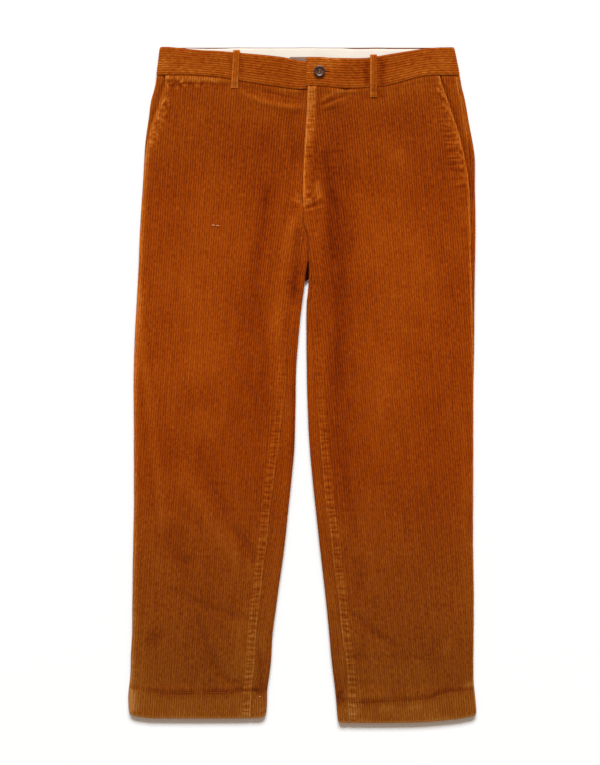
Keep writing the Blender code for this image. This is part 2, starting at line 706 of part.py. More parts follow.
def button(material):
    """A four-hole button with a raised rim, on the lap of the waistband."""
    x, y = BUTTON_PLACE
    base = BAND_LEVEL + BAND_CENTRE_RISE + BAND_LAP_LIFT + SEAM_GAP
    disc = cylinder("button", BUTTON_RADIUS, BUTTON_HEIGHT, (x, y, base), 40)
    disc.data.materials.append(material)
    bevel = disc.modifiers.new("round edge", "BEVEL")
    bevel.width = 0.8 * MM
    bevel.segments = 2
    recess = cylinder(
        "button_recess", BUTTON_RADIUS - BUTTON_RIM, BUTTON_HEIGHT,
        (x, y, base + BUTTON_HEIGHT - BUTTON_RECESS), 40,
    )
    cut(disc, recess, "recess")
    for i, (right, up) in enumerate([(1, 1), (-1, 1), (-1, -1), (1, -1)]):
        place = (x + right * BUTTON_HOLE_OFFSET, y + up * BUTTON_HOLE_OFFSET, base - 1)
        hole = cylinder(f"button_hole_{i}", BUTTON_HOLE_RADIUS, BUTTON_HEIGHT + 2, place, 10)
        cut(disc, hole, f"hole {i}")
    return disc


def new_material(name, colour, roughness):
    material = bpy.data.materials.new(name)
    material.use_nodes = True
    shader = material.node_tree.nodes["Principled BSDF"]
    shader.inputs["Base Color"].default_value = colour
    shader.inputs["Roughness"].default_value = roughness
    shader.inputs["Metallic"].default_value = 0.0
    material.diffuse_color = colour
    return material


def main():
    for obj in list(bpy.data.objects):
        bpy.data.objects.remove(obj)
    cloth = new_material("corduroy", CLOTH_COLOUR, 0.9)
    band = new_material("waistband_corduroy", BAND_COLOUR, 0.9)
    pale = new_material("facing_twill", FACING_COLOUR, 0.8)
    dark = new_material("label_cloth", LABEL_COLOUR, 0.7)
    horn = new_material("button_plastic", BUTTON_COLOUR, 0.35)
    for side, word in ((RIGHT, "right"), (LEFT, "left")):
        front_panel(f"front_{word}", side, cloth)
        back_panel(f"back_{word}", side, cloth)
        pocket_facing(f"pocket_facing_{word}", side, cloth)
        waistband(f"waistband_{word}", side, band)
    waistband_facing(pale)
    waistband_label(dark)
    front_loop("belt_loop_front_right", RIGHT, -98.5, -101.8, band)
    front_loop("belt_loop_front_left", LEFT, 107.8, 107.8, band)
    for word, x in zip(("right", "centre", "left"), back_loop_places()):
        back_loop(f"belt_loop_back_{word}", x, band)
    button(horn)


if __name__ == "__main__":
    main()
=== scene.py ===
"""Corduroy trousers laid flat and face up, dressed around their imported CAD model.

Every cloth piece is a closed thin shell on its solid's form. Its outer side is a fine grid
whose columns run along the wales, so the ribs are real relief, and its inner side is a
coarse plain grid. Lengths are millimetres until a mesh is made, with the waist at +Y, the
wearer's left at +X and the surface that the trousers lie on at Z = 0.
"""

import json
import math
from collections import namedtuple
from functools import partial

import bpy
import numpy as np
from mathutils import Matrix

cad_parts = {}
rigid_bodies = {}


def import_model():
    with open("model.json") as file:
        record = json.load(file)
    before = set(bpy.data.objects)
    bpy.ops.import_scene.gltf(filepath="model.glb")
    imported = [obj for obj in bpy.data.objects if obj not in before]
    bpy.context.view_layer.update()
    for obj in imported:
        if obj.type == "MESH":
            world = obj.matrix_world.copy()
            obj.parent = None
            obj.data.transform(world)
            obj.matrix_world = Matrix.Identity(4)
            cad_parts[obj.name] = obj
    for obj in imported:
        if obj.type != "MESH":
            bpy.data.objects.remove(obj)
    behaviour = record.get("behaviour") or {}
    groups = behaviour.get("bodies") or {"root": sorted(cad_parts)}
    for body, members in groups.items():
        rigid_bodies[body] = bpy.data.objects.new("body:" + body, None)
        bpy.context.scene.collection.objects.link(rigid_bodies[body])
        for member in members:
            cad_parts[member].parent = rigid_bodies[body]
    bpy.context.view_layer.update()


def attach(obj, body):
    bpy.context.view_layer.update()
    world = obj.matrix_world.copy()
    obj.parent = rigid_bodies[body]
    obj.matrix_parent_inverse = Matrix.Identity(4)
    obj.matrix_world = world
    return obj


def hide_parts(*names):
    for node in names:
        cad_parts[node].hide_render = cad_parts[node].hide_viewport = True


bl_info = {
    "name": "Corduroy trousers",
    "version": (1, 0, 0),
    "blender": (4, 5, 0),
    "location": "3D View > Sidebar > Trousers",
    "description": "Makes corduroy trousers that lie flat, with their seams, loops and button",
    "category": "Add Mesh",
}

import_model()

MM = 0.001
DELTA = 0.02  # step for reading a surface's slope
RIGHT, LEFT = -1, 1
WORD = {RIGHT: "right", LEFT: "left"}

# Cloth and how the layers lie, as in the solids.
CLOTH = 1.6
HEM_CLOTH = 2.8
HEM_DEPTH = 39.0
BAND_CLOTH = 2.4
POCKET_CLOTH = 1.2
LOOP_CLOTH = 1.2
FACING_CLOTH = 0.8
LABEL_CLOTH = 0.5
SEAM_GAP = 0.3
WAIST_GAP = 0.15
LEG_GAP = 0.06
TOP_LEVEL = 5.1
FOLD_RADIUS = 3.3
FOLD_SPREAD = 24.0
HEM_LEVEL = 6.7
WAIST_LEVEL = 6.3
WAIST_SPREAD = 60.0
DEEPEST_TROUGH = 1.4
HIGHEST_RIDGE = 2.1
HEM_RISE = 14.0  # how far above the doubled hem the cloth starts to rise, and over what
HEM_RISE_RUN = 16.0
# Folds fade out towards a panel's edges: from where, and over what.
EDGE_CALM = 2.0
OUTER_CALM_RUN = 12.0
INNER_CALM_RUN = 8.0
HEM_CALM = 10.0
HEM_CALM_RUN = 60.0
WAIST_CALM_RUN = 40.0

# Lengths down the garment.
WAIST_Y = 466.0
BACK_TOP_Y = 509.3
CROTCH_Y = 259.4
SPLIT_Y = 281.0
HEM_Y = -502.0
DIP_END_Y = 350.0
HEM_SHAPE = 90.0

# Fly: the left front laps over the right front's extension.
UNDERLAP = 30.0
UNDERLAP_END_Y = 285.0
UNDERLAP_TAPER = 45.0
FLY_LIFT = 2.1
FLY_WAIST_LIFT = 2.3
FLY_FLAT = 8.0
FLY_SLOPE = 26.0
FLY_TOE = 2.0
FLY_WAIST_RISE = 70.0
FLY_WAIST_RUN = 55.0

# Waistband.
BAND_RADIUS = 3.9
BAND_LEVEL = 7.8
BAND_CENTRE_RISE = 0.8
BAND_CENTRE_X = 12.0
BAND_CENTRE_FLAT = 44.0
BAND_CENTRE_SLOPE = 26.0
BAND_LAP_LIFT = 2.7
BAND_LAP_FLAT = 3.0
BAND_LAP_SLOPE = 30.0
BAND_LAP_X = 6.0
BAND_UNDERLAP_X = 52.0
BAND_EDGE = 0.45
BAND_WALES = 12
BAND_HEIGHT = 43.0

# Belt loops, label and button.
LOOP_WIDTH = 10.5
LOOP_ARCH = 0.5
LOOP_OVER_TOP = 3.7
LOOP_BELOW_SEAM = 15.0
FRONT_LOOP_BELOW = {RIGHT: 11.6, LEFT: 15.0}
LOOP_WALES = 3
LOOP_PLACES = {RIGHT: (-98.5, -101.8), LEFT: (107.8, 107.8)}  # x of its top and its foot
BACK_LOOP_SPACING = 105.0
BACK_LOOP_RISE = 1.5
LOOP_RISE_FLAT = 1.2
LOOP_RISE_SLOPE = 13.0
LOOP_RISE_BELOW = 26.0
LOOP_RISE_RUN = 22.0
FACING_X = (-176.0, 190.0)
FACING_BELOW_TOP = 2.2
FACING_HEIGHT = 34.0
LABEL_X = (-18.5, 34.4)
LABEL_TOP_Y = 495.0
LABEL_HEIGHT = 24.0
BUTTON_PLACE = (26.4, 472.0)
BUTTON_RADIUS = 8.6
BUTTON_BASE = BAND_LEVEL + BAND_CENTRE_RISE + BAND_LAP_LIFT + SEAM_GAP
HOLE_REACH = 1.7  # from the button's middle to each hole's, along and across

# A pocket's facing runs on under the front by the tuck, and below the pocket's end by the
# tail. It sinks to go under the front over the step.
POCKET_TUCK = 18.0
POCKET_TAIL = 10.0
POCKET_STEP = 7.0

# Sewing: how far each line of stitches lies from its edge, and the thread.
POCKET_STITCH = 11.0
INSEAM_STITCH = 7.0
SEAT_STITCH = 6.0
STITCH_STEP = 3.4
FINE_STITCH_STEP = 3.2
STITCH_SHARE = 0.72  # how much of each step is thread
THREAD_RADIUS = 0.28

# The seat seam's end between the legs: ribbons along the middle of the gap, from bottom to
# top, that reach under the edges on both sides. They are painted dark as shade in the gap:
# the lowest in a near-black cloth that is a painted shadow, the others by their negative tones.
Ribbon = namedtuple("Ribbon", "name bottom top height reach tone")
SEAM_END = Ribbon("seat_seam_end", 160.5, 186.8, 4.2, 0.1, 0.0)
SEAM_ABOVE = Ribbon("seat_seam_above", 187.0, 277.0, 4.25, 0.9, -0.9)
ALLOWANCE = Ribbon("crotch_seam_allowance", 262.0, 300.0, 2.9, 4.0, -1.5)
RIBBON_CLOTH = 0.75

Edge = namedtuple("Edge", "y x")
OUTER = {
    RIGHT: [
        Edge(509, -214.9), Edge(490, -217.0), Edge(472, -219.4), Edge(454, -221.5),
        Edge(430, -227.9), Edge(400, -232.1), Edge(370, -236.2), Edge(309, -239.9),
        Edge(249, -243.9), Edge(158, -248.0), Edge(83, -252.1), Edge(45, -253.7),
        Edge(-15, -254.4), Edge(-60, -254.0), Edge(-188, -253.9), Edge(-226, -254.8),
        Edge(-324, -256.3), Edge(-377, -256.9), Edge(-407, -258.6), Edge(-437, -259.2),
        Edge(-480, -262.6), Edge(-504, -261.6),
    ],
    LEFT: [
        Edge(509, 230.0), Edge(490, 233.9), Edge(472, 237.5), Edge(454, 240.2),
        Edge(430, 246.0), Edge(400, 251.1), Edge(370, 256.8), Edge(339, 260.9),
        Edge(300, 260.9), Edge(249, 261.8), Edge(128, 260.2), Edge(45, 259.6), Edge(-8, 258.9),
        Edge(-143, 258.8), Edge(-226, 258.5), Edge(-324, 259.7), Edge(-437, 259.0),
        Edge(-480, 262.2), Edge(-504, 264.0),
    ],
}
# The line between the legs down to the crotch, which is the fly edge in front.
CENTRE = [
    Edge(510, 8.6), Edge(447, 7.8), Edge(386, 5.0), Edge(328, 2.1), Edge(281, 1.2),
    Edge(259.4, 2.3),
]
INNER = {
    RIGHT: [
        Edge(259.4, 2.3), Edge(247, 2.2), Edge(219, 8.7), Edge(193, 8.7), Edge(182, 8.2),
        Edge(170, 5.7), Edge(161, 4.7), Edge(146, 3.2), Edge(128, 0.7), Edge(98, -2.9),
        Edge(83, -4.2), Edge(38, -8.1), Edge(-30, -9.8),
        Edge(-98, -11.7), Edge(-143, -15.9), Edge(-188, -20.7), Edge(-234, -25.3),
        Edge(-324, -37.7), Edge(-357, -42.0), Edge(-379, -44.6), Edge(-415, -46.6),
        Edge(-442, -49.8), Edge(-460, -52.2), Edge(-490, -53.2), Edge(-504, -54.4),
    ],
    LEFT: [
        Edge(259.4, 2.3), Edge(247, 2.2), Edge(219, 8.7), Edge(193, 9.3), Edge(182, 10.3),
        Edge(170, 10.6), Edge(161, 10.2), Edge(146, 9.4), Edge(128, 7.3), Edge(107, 6.6),
        Edge(83, 6.6), Edge(38, 7.0), Edge(-30, 8.4), Edge(-62, 9.7),
        Edge(-98, 12.0), Edge(-143, 16.1), Edge(-188, 20.8), Edge(-234, 25.7), Edge(-324, 36.1),
        Edge(-379, 41.4), Edge(-415, 44.5), Edge(-460, 50.3), Edge(-504, 54.5),
    ],
}

# Distances over the top from a side fold to a seam or a pocket's edge.
Seam = namedtuple("Seam", "y over")
OUTSEAM = {
    RIGHT: [Seam(510, 0.8), Seam(-510, 0.8)],
    LEFT: [
        Seam(510, 6.5), Seam(403, 7.8), Seam(296, 9.8), Seam(204, 8.0), Seam(113, 4.4),
        Seam(38, 2.2), Seam(-22, 1.0), Seam(-510, 0.8),
    ],
}
INSEAM = {
    RIGHT: [
        Seam(259.4, 0.0), Seam(219, 9.0), Seam(173, 14.9), Seam(122, 16.2), Seam(68, 17.6),
        Seam(8, 16.2), Seam(-83, 24.6), Seam(-173, 28.2), Seam(-264, 28.6), Seam(-324, 26.8),
        Seam(-430, 25.2), Seam(-510, 24.8),
    ],
    LEFT: [
        Seam(259.4, 0.0), Seam(219, 3.0), Seam(173, 5.5), Seam(62, 11.1), Seam(8, 13.7),
        Seam(-83, 17.4), Seam(-173, 17.3), Seam(-234, 19.1), Seam(-371, 20.0),
        Seam(-416, 22.8), Seam(-481, 18.2), Seam(-510, 17.5),
    ],
}
POCKET_EDGE = {
    RIGHT: [
        Seam(466, 15.5), Seam(457, 16.2), Seam(425, 14.9), Seam(403, 9.1), Seam(366, 4.3),
        Seam(342, 1.1),
    ],
    LEFT: [
        Seam(466, 32.5), Seam(422, 26.9), Seam(386, 20.7), Seam(347, 17.4), Seam(315, 12.0),
        Seam(296, 10.1),
    ],
}
# The fly's stitching, as a distance from the fly's edge.
FLY_STITCH = [
    Seam(447, 41.0), Seam(400, 43.5), Seam(365, 39.0), Seam(332, 31.5), Seam(305, 27.0),
    Seam(288, 22.5), Seam(277, 16.0), Seam(268, 3.0),
]

# Curves across the garment.
Line = namedtuple("Line", "x y")
WAIST_SEAM = {
    RIGHT: [
        Line(-225, 466.0), Line(-189, 467.3), Line(-142, 465.2), Line(-109, 461.3),
        Line(-84, 456.6), Line(-47, 450.9), Line(-3, 445.4), Line(60, 446.5),
    ],
    LEFT: [
        Line(0, 450.0), Line(23, 450.0), Line(53, 447.1), Line(72, 446.5), Line(103, 448.5),
        Line(127, 450.9), Line(154, 457.5), Line(173, 463.1), Line(204, 466.6), Line(245, 466.0),
    ],
}
BAND_TOP = {
    RIGHT: [
        Line(-222, 509.3), Line(-205, 509.8), Line(-188, 508.5), Line(-154, 504.9),
        Line(-127, 503.8), Line(-106, 502.0), Line(-84, 500.0), Line(-50, 496.9),
        Line(-24, 493.3), Line(-3, 488.6), Line(20, 487.0), Line(60, 487.0),
    ],
    LEFT: [
        Line(0, 492.8), Line(18, 493.9), Line(53, 492.5), Line(94, 493.0), Line(113, 495.5),
        Line(133, 499.0), Line(164, 504.0), Line(185, 507.2), Line(210, 509.0), Line(240, 509.3),
    ],
}
HEM_LINE = {
    RIGHT: [
        Line(-265, -490.0), Line(-261, -494.0), Line(-256, -497.5), Line(-240, -501.3),
        Line(-225, -502.8), Line(-150, -503.2), Line(-75, -502.6), Line(-62, -501.6),
        Line(-54, -497.5),
    ],
    LEFT: [
        Line(52, -507.0), Line(60, -509.6), Line(100, -509.9), Line(150, -509.6),
        Line(215, -506.0), Line(249, -501.2), Line(260, -498.0), Line(264.5, -494.0),
    ],
}

# How far above the hem its stitching runs, as y at each x.
HEM_STITCH = {
    RIGHT: [
        Line(-262, 43.5), Line(-244, 44), Line(-200, 38.5), Line(-150, 39), Line(-115, 39),
        Line(-96, 42.5), Line(-50, 42),
    ],
    LEFT: [
        Line(50, 33), Line(83, 30), Line(134, 32.5), Line(190, 35.5), Line(212, 41), Line(225, 43.5),
        Line(262, 43),
    ],
}

# A stroke is a soft bent line from (x0, y0) to (x1, y1). bow is how far its middle lies
# off the straight line, to the left as one looks along it, and left and right are its half
# widths. The amount is a height in millimetres for folds and creases, and for marks it is
# how much lighter or darker the colour is painted, where 1 is the lightest and -1 the
# darkest: mostly painted light and shade of the folds, and partly uneven nap.
Stroke = namedtuple("Stroke", "x0 y0 x1 y1 bow left right amount")
STROKE_FADE = 0.3


def mark(x0, y0, x1, y1, width, amount):
    """A straight stroke that is as wide on both sides."""
    return Stroke(x0, y0, x1, y1, 0, width, width, amount)


FOLDS = [
    # Wearer's right leg.
    Stroke(-48, 294, -75, 146, -2, 9, 9, -1.3), Stroke(-63, 131, -59, -11, 1, 7, 8, -0.8),
    Stroke(-14, 253, -39, 75, -4, 8, 8, 1.4), Stroke(-39, 75, -35, -23, 0, 8, 8, 0.7),
    Stroke(-6, 231, -17, 121, 1, 4, 5, -1.0), Stroke(-9, 415, -9, 330, 0, 12, 9, -0.7),
    Stroke(-247, 116, -210, -216, 2, 6, 7, 1.1), Stroke(-234, -85, -222, -219, -1, 5, 6, -0.7),
    Stroke(-181, -125, -84, -279, -8, 15, 11, 1.0),
    Stroke(-136, -140, -112, -195, -2, 9, 8, -0.8), Stroke(-103, -216, -72, -267, 3, 7, 7, -1.1),
    Stroke(-207, -222, -166, -273, -6, 9, 9, -0.7), Stroke(-202, -192, -151, -234, 0, 6, 8, 0.5),
    Stroke(-195, -309, -65, -356, -5, 4, 6, -0.6),
    Stroke(-157, -345, -128, -436, -2, 5, 5, -0.7),
    Stroke(-128, -433, -89, -454, -3, 4, 5, -1.1), Stroke(-93, 442, 2, 418, -6, 4, 5, 1.4),
    Stroke(-190, 330, -150, 210, 5, 22, 22, 0.6), Stroke(-120, -10, -150, -120, 6, 16, 20, 0.6),
    # Wearer's left leg.
    Stroke(37, 350, 44, 279, 0, 9, 7, -1.1), Stroke(44, 279, 51, 185, -4, 13, 6, -1.3),
    Stroke(50, 170, 53, 53, 3, 14, 7, -1.3), Stroke(51, 60, 57, -98, -1, 14, 7, -1.2),
    Stroke(57, -98, 80, -234, -1, 9, 7, -1.0), Stroke(24, 255, 32, -60, 1, 7, 6, 0.6),
    Stroke(83, -264, 87, -312, 0, 7, 6, -0.9), Stroke(68, -412, 98, -410, 0, 4, 5, -1.1),
    Stroke(98, -410, 202, -412, 0, 4, 5, -0.4), Stroke(80, -347, 145, -394, -4, 6, 7, -0.9),
    Stroke(120, 372, 160, 318, 0, 20, 18, 0.6), Stroke(170, 220, 188, 150, 4, 22, 22, 0.7),
    Stroke(205, 60, 196, -150, 6, 18, 24, 0.6), Stroke(150, -230, 200, -330, 8, 18, 20, 0.5),
]
# Finer creases, which only the cloth has. On the fronts their heights are also painted into
# the tone, as painted light and shade.
CREASES = [
    Stroke(2, 270, 30, 285, -1, 2.0, 2.0, 0.4), Stroke(3, 262, 33, 270, 0, 1.8, 2.0, 0.35),
    Stroke(6, 276, 21, 296, -3, 1.8, 1.8, 0.35), Stroke(5, 266, 32, 277, 0, 1.6, 1.8, -0.2),
    mark(2, 271, -17, 282, 1.8, 0.3), mark(2, 265, -14, 270, 1.6, -0.25),
    mark(27, 428, 53, 442, 2.0, 0.35), Stroke(53, 442, 83, 442, 0, 2.0, 2.2, 0.22),
    Stroke(30, 418, 68, 433, 0, 2.0, 2.2, 0.35), Stroke(29, 423, 65, 437, 0, 1.6, 1.8, -0.35),
    Stroke(32, 412, 60, 421, 0, 1.8, 2.0, -0.25), mark(-42, 452, -2, 442, 2.2, 0.3),
    Stroke(-60, 443, -3, 431, 0, 1.8, 2.0, -0.3), mark(30, 350, 59, 353, 1.8, -0.2),
    mark(30, 326, 54, 329, 1.8, -0.15), Stroke(-205, 454, -112, 452, 1.5, 1.8, 1.8, -0.33),
]
# Patches painted lighter or darker: mostly painted light and shade of the folds that the relief does
# not give, and partly uneven nap.
MARKS = [
    mark(232, 303, 247, 308, 2.5, 1.1), mark(230, 298, 246, 302, 2.0, -0.8),
    mark(-192, 460, -121, 460, 3, 0.7), mark(-13, 165, -16, 135, 6, -0.35),
    mark(42, 297, 44, 276, 5, -0.7), Stroke(23, 308, 26, 284, 0, 6, 7, 1.5),
    Stroke(33, 351, 32, 333, 0, 4, 5, -0.25), mark(-12, 253, -18, 232, 5, 0.6),
    mark(-9, 291, -6, 276, 3.5, 0.8), mark(148, 357, 142, 336, 9, 0.35),
    mark(175, 196, 175, 173, 8, 0.2), Stroke(-54, 385, -60, 271, 0, 28, 26, -0.3),
    mark(-196, 339, -193, 279, 30, -0.25), Stroke(-154, 219, -146, 8, 0, 38, 45, 0.28),
    Stroke(-86, 121, -78, -15, 0, 18, 20, -0.4), Stroke(62, 415, 60, 143, 0, 16, 30, -0.3),
    mark(148, 415, 155, 317, 45, -0.2), Stroke(136, 264, 133, -38, 0, 30, 45, 0.25),
    mark(216, 53, 208, -234, 28, -0.25), mark(170, -173, 193, -339, 25, -0.25),
    mark(-229, -372, -214, -385, 14, -0.5), Stroke(-214, 354, 208, 354, 0, 50, 60, -0.2),
    Stroke(44, 271, 57, -23, 0, 26, 24, -0.35), mark(-196, -204, -187, -264, 25, -0.2),
    mark(-154, -38, -150, -80, 20, 0.15), mark(-154, -385, -146, -430, 30, -0.15),
    mark(-18, -23, -51, -385, 9, 0.25), Stroke(23, -68, 47, -415, 0, 8, 9, 0.1),
    Stroke(-8, 8, -12, -113, 0, 4, 5, -0.9), mark(57, -460, 54, -484, 5, -0.8),
    mark(-65, -397, -60, -457, 4, -0.6), mark(80, -475, 81, -496, 7, 0.6),
    mark(118, -487, 140, -487, 7, 0.5), mark(160, -484, 181, -484, 8, 0.4),
    mark(-256, -460, -256, -493, 7, 1.2), mark(-244, -385, -244, -460, 14, 0.45),
    mark(226, -385, 211, -407, 6, 0.4), mark(118, -385, 122, -407, 9, 0.2),
    mark(198, -461, 231, -460, 4, -0.25), mark(244, -455, 259, -451, 6, 1.3),
    mark(-146, -461, -90, -460, 4, -0.4), mark(-72, -457, -59, -466, 4, -0.9),
    mark(-235, -83, -232, -173, 8, 0.45), mark(247, -68, 250, -385, 10, 0.3),
    mark(-243, 150, -246, 15, 8, 0.5), mark(-143, -80, -143, -116, 14, -0.3),
    mark(-184, -255, -184, -287, 14, -0.3), mark(-166, -350, -156, -388, 22, -0.25),
    mark(-161, 60, -161, 0, 14, 0.2), mark(-206, 98, -206, 52, 14, 0.2),
    mark(-75, 392, -75, 362, 12, 0.25), mark(-103, -345, -99, -379, 12, 0.3),
    mark(110, -286, 110, -316, 16, 0.25), mark(133, 268, 133, 244, 9, -0.35),
    mark(178, 437, 178, 377, 28, -0.25), mark(-176, 332, -176, 302, 15, -0.2),
    mark(-206, 136, -176, 136, 11, -0.3), mark(-71, 150, -71, 122, 10, -0.3),
    mark(-56, 252, -56, 216, 10, -0.3), mark(-86, -26, -86, -50, 10, -0.25),
    mark(155, -212, 155, -240, 14, -0.25), mark(-94, -240, -88, -275, 6, -0.5),
    mark(223, 110, 223, 70, 12, -0.25), mark(92, 438, 125, 440, 8, -0.6),
    Stroke(-5, 184, -13, 140, 0, 10, 9, -0.45), Stroke(36, -10, 50, -128, 0, 10, 16, -0.4),
    mark(24, 150, 28, 70, 7, -0.3), Stroke(-228, 430, -238, 325, 0, 8, 10, 0.35),
    mark(-80, -330, -85, -440, 16, 0.3), mark(-36, 448, -4, 440, 7, 0.4),
    mark(0, 312, 4, 236, 9, 0.35), mark(-150, 420, -145, 370, 18, 0.15),
    mark(-160, -90, -155, -130, 14, -0.25), mark(-60, -10, -62, -80, 14, -0.25),
    mark(-26, 415, -28, 382, 12, -0.3), mark(-204, 428, -204, 400, 8, -0.4),
    mark(200, -300, 202, -335, 14, -0.2), mark(-150, -305, -140, -340, 14, -0.25),
    mark(-242, -350, -242, -390, 12, 0.3), mark(70, -468, 130, -468, 4, 0.4),
    mark(55, -477, 150, -473, 3.5, 0.45), mark(185, -421, 205, -421, 10, -0.25),
    mark(205, -488, 228, -488, 7, -0.3), mark(258, 308, 257, 282, 4, -0.5),
    mark(258, 215, 258, 185, 4, -0.4), Stroke(48, -150, 56, -215, 0, 10, 8, -0.25),
    mark(82, -20, 78, -60, 16, -0.3), mark(60, -100, 105, -100, 14, -0.25),
    mark(-8, 150, -12, 122, 7, -0.5), mark(32, 110, 36, 70, 8, -0.25),
    mark(193, -120, 193, -160, 10, -0.25), mark(140, 20, 140, -10, 9, -0.25),
    mark(-63, 215, -63, 190, 9, -0.3), mark(-172, 290, -172, 265, 14, -0.2),
    mark(88, 78, 88, 55, 8, -0.2), mark(208, 50, 208, 20, 14, -0.2),
    mark(-48, 50, -50, 10, 10, -0.2), mark(-85, -350, -90, -430, 18, 0.2),
    mark(-238, 345, -242, 310, 8, 0.4), mark(246, 270, 246, 240, 6, 0.4),
    mark(-116, 264, -116, 243, 8, 0.3), mark(50, 180, 50, 152, 6, 0.4),
    mark(-45, 452, -20, 444, 6, 0.4), mark(40, 448, 62, 444, 8, 0.4),
    mark(13, 85, 13, -25, 4, 0.35), mark(-12, 85, -13, -25, 4, -0.2),
    mark(200, -20, 200, -110, 14, -0.3), Stroke(214, 385, 214, 330, 0, 10, 12, -0.25),
    mark(110, 312, 110, 285, 14, -0.25), mark(76, 232, 76, 205, 10, -0.3),
    mark(-146, 192, -146, 165, 14, 0.2), mark(-101, 117, -101, 90, 10, 0.3),
    mark(-199, 378, -199, 350, 10, 0.2), mark(-68, -215, -66, -250, 8, 0.35),
    mark(-60, -372, -60, -405, 9, 0.3), mark(58, -405, 62, -440, 7, 0.35),
]
Lint = namedtuple("Lint", "x y half_length turn")
LINT = [
    Lint(-127.0, 240.2, 1.9, 0.0), Lint(-133.5, 240.8, 2.2, -0.2), Lint(-63.6, -469.5, 0.9, -0.5),
]
# Patches painted on the front waistband: uneven nap, and the dark strokes at x -107.5, -91, 98 and
# 119, which are painted shadows on both sides of the belt loops.
BAND_MARKS = [
    mark(-190, 474, -140, 474, 7, 0.4), mark(-70, 478, -10, 468, 16, -0.25),
    mark(-215, 490, -205, 478, 12, 0.6), mark(30, 492, 60, 486, 14, 0.8),
    mark(200, 488, 225, 484, 12, 0.4), mark(98, 472, 98, 452, 5, -0.4),
    mark(45, 474, 100, 474, 18, -0.6), mark(8, 480, 30, 478, 20, 0.5),
    mark(150, 470, 200, 474, 8, 0.3), Stroke(-91, 500, -91, 466, 0, 4, 5, -0.6),
    mark(-107.5, 500, -107.5, 466, 2, -0.6), Stroke(98, 492, 98, 452, 0, 6, 5, -0.8),
    Stroke(119, 492, 119, 452, 0, 7, 5, -1.1),
]

CURVE_LEAN = 6.4  # most that the crotch pulls a wale aside
CURVE_Y = 215.0
CURVE_REACH = 80.0
CURVE_PLACE = 45.0  # the wale line that it pulls most, from the middle
CURVE_SPREAD = 55.0
LEAN = {RIGHT: 0.070, LEFT: 0.086}  # how far a wale runs outwards for each millimetre down
QUARTER = FOLD_RADIUS * math.pi / 2  # length of cloth round half of a side fold
BEND = (math.pi / 2 - 1) * FOLD_RADIUS  # what a quarter turn takes beyond its own width
POINTS_PER_WALE = 4
RIB_POWER = 0.6
RIB_BELOW = 0.8  # share of the pile's height below the solid's face
# Grid rows down a leg: each step holds from its start to the next start.
RowBand = namedtuple("RowBand", "start step")
ROWS = {
    "front": [RowBand(HEM_Y, 2.2), RowBand(-440, 4.0), RowBand(230, 1.8), RowBand(WAIST_Y, 0)],
    "back": [RowBand(HEM_Y, 4.0), RowBand(-440, 8.0), RowBand(230, 7.0), RowBand(WAIST_Y, 0)],
}
REVERSE_PITCH = 0.0036  # metres of plain cloth for each unit of its UV map
GROUND = 0.02  # the lowest that any cloth comes
EDGE_ROUND = 2.4
EDGE_DROP = 0.75
NEAR_EDGE = 0.25  # a wale's column this near an edge joins it


def linear(code):
    """A colour such as #a04010 as linear red, green and blue."""
    parts = [int(code[i : i + 2], 16) / 255 for i in (1, 3, 5)]
    return tuple(p / 12.92 if p <= 0.04045 else ((p + 0.055) / 1.055) ** 2.4 for p in parts)


# ---------------------------------------------------------------- the garment's form


def along(table, at):
    """A smooth curve through a table's two columns, read at the given values. It stays
    between the values of neighbouring rows."""
    known, values = np.array(sorted(table), float).T
    secants = np.diff(values) / np.diff(known)
    before, after = np.append(secants[0], secants), np.append(secants, secants[-1])
    limit = 2.5 * np.minimum(abs(before), abs(after)) * (before * after > 0)
    slopes = np.clip(np.gradient(values, known), -limit, limit)
    at = np.clip(at, known[0], known[-1])
    i = np.clip(np.searchsorted(known, at) - 1, 0, len(known) - 2)
    step = known[i + 1] - known[i]
    t = (at - known[i]) / step
    rise = values[i + 1] - values[i]
    start = slopes[i] * step - rise
    end = rise - slopes[i + 1] * step
    return values[i] + t * rise + t * (1 - t) * ((1 - t) * start + t * end)


def ramp(t):
    """0 below t = 0 and 1 above t = 1, eased at both ends."""
    t = np.clip(t, 0.0, 1.0)
    return t * t * (3 - 2 * t)


def bell(off, width):
    """1 at a line and less on both sides: exp(-(distance / width)^2)."""
    return np.exp(-((off / width) ** 2))


def strokes(table, x, y):
    """The sum of a table's soft lines at each point. Each is a bell across its bent line,
    and fades over STROKE_FADE of its length at both ends."""
    total = np.zeros(np.broadcast(x, y).shape)
    for line in table:
        run_x, run_y = line.x1 - line.x0, line.y1 - line.y0
        length = math.hypot(run_x, run_y)
        t = ((x - line.x0) * run_x + (y - line.y0) * run_y) / length**2
        off = ((y - line.y0) * run_x - (x - line.x0) * run_y) / length
        off = off - 4 * line.bow * t * (1 - t)
        width = np.where(off > 0, line.left, line.right)
        ends = ramp(t / STROKE_FADE + 0.5) * ramp((1 - t) / STROKE_FADE + 0.5)
        total = total + line.amount * ends * bell(off, width)
    return total


def fold_relief(x, y):
    """Height of all the folds together, within what the layers leave room for."""
    total = strokes(FOLDS, x, y)
    limit = np.where(total > 0, HIGHEST_RIDGE, DEEPEST_TROUGH)
    return limit * np.tanh(total / limit)


def in_from_fold(s, radius):
    """How far in from a fold a point lies, s along the cloth from the fold's edge. It is
    radius * (1 - cos(s / radius)) round the quarter circle, and runs straight on after it."""
    quarter = radius * math.pi / 2
    bent = radius * (1 - np.cos(np.clip(s, 0, quarter) / radius))
    return np.where(s < quarter, bent, s - quarter + radius)


def turned(s, radius):
    """0 at a fold's edge and 1 a quarter turn on: the sine of s / radius."""
    return np.sin(np.clip(s / radius, 0, math.pi / 2))


def split(y):
    """0 where the legs are one tube, and 1 from the crotch down, where they are two."""
    return ramp((SPLIT_Y - y) / (SPLIT_Y - CROTCH_Y))


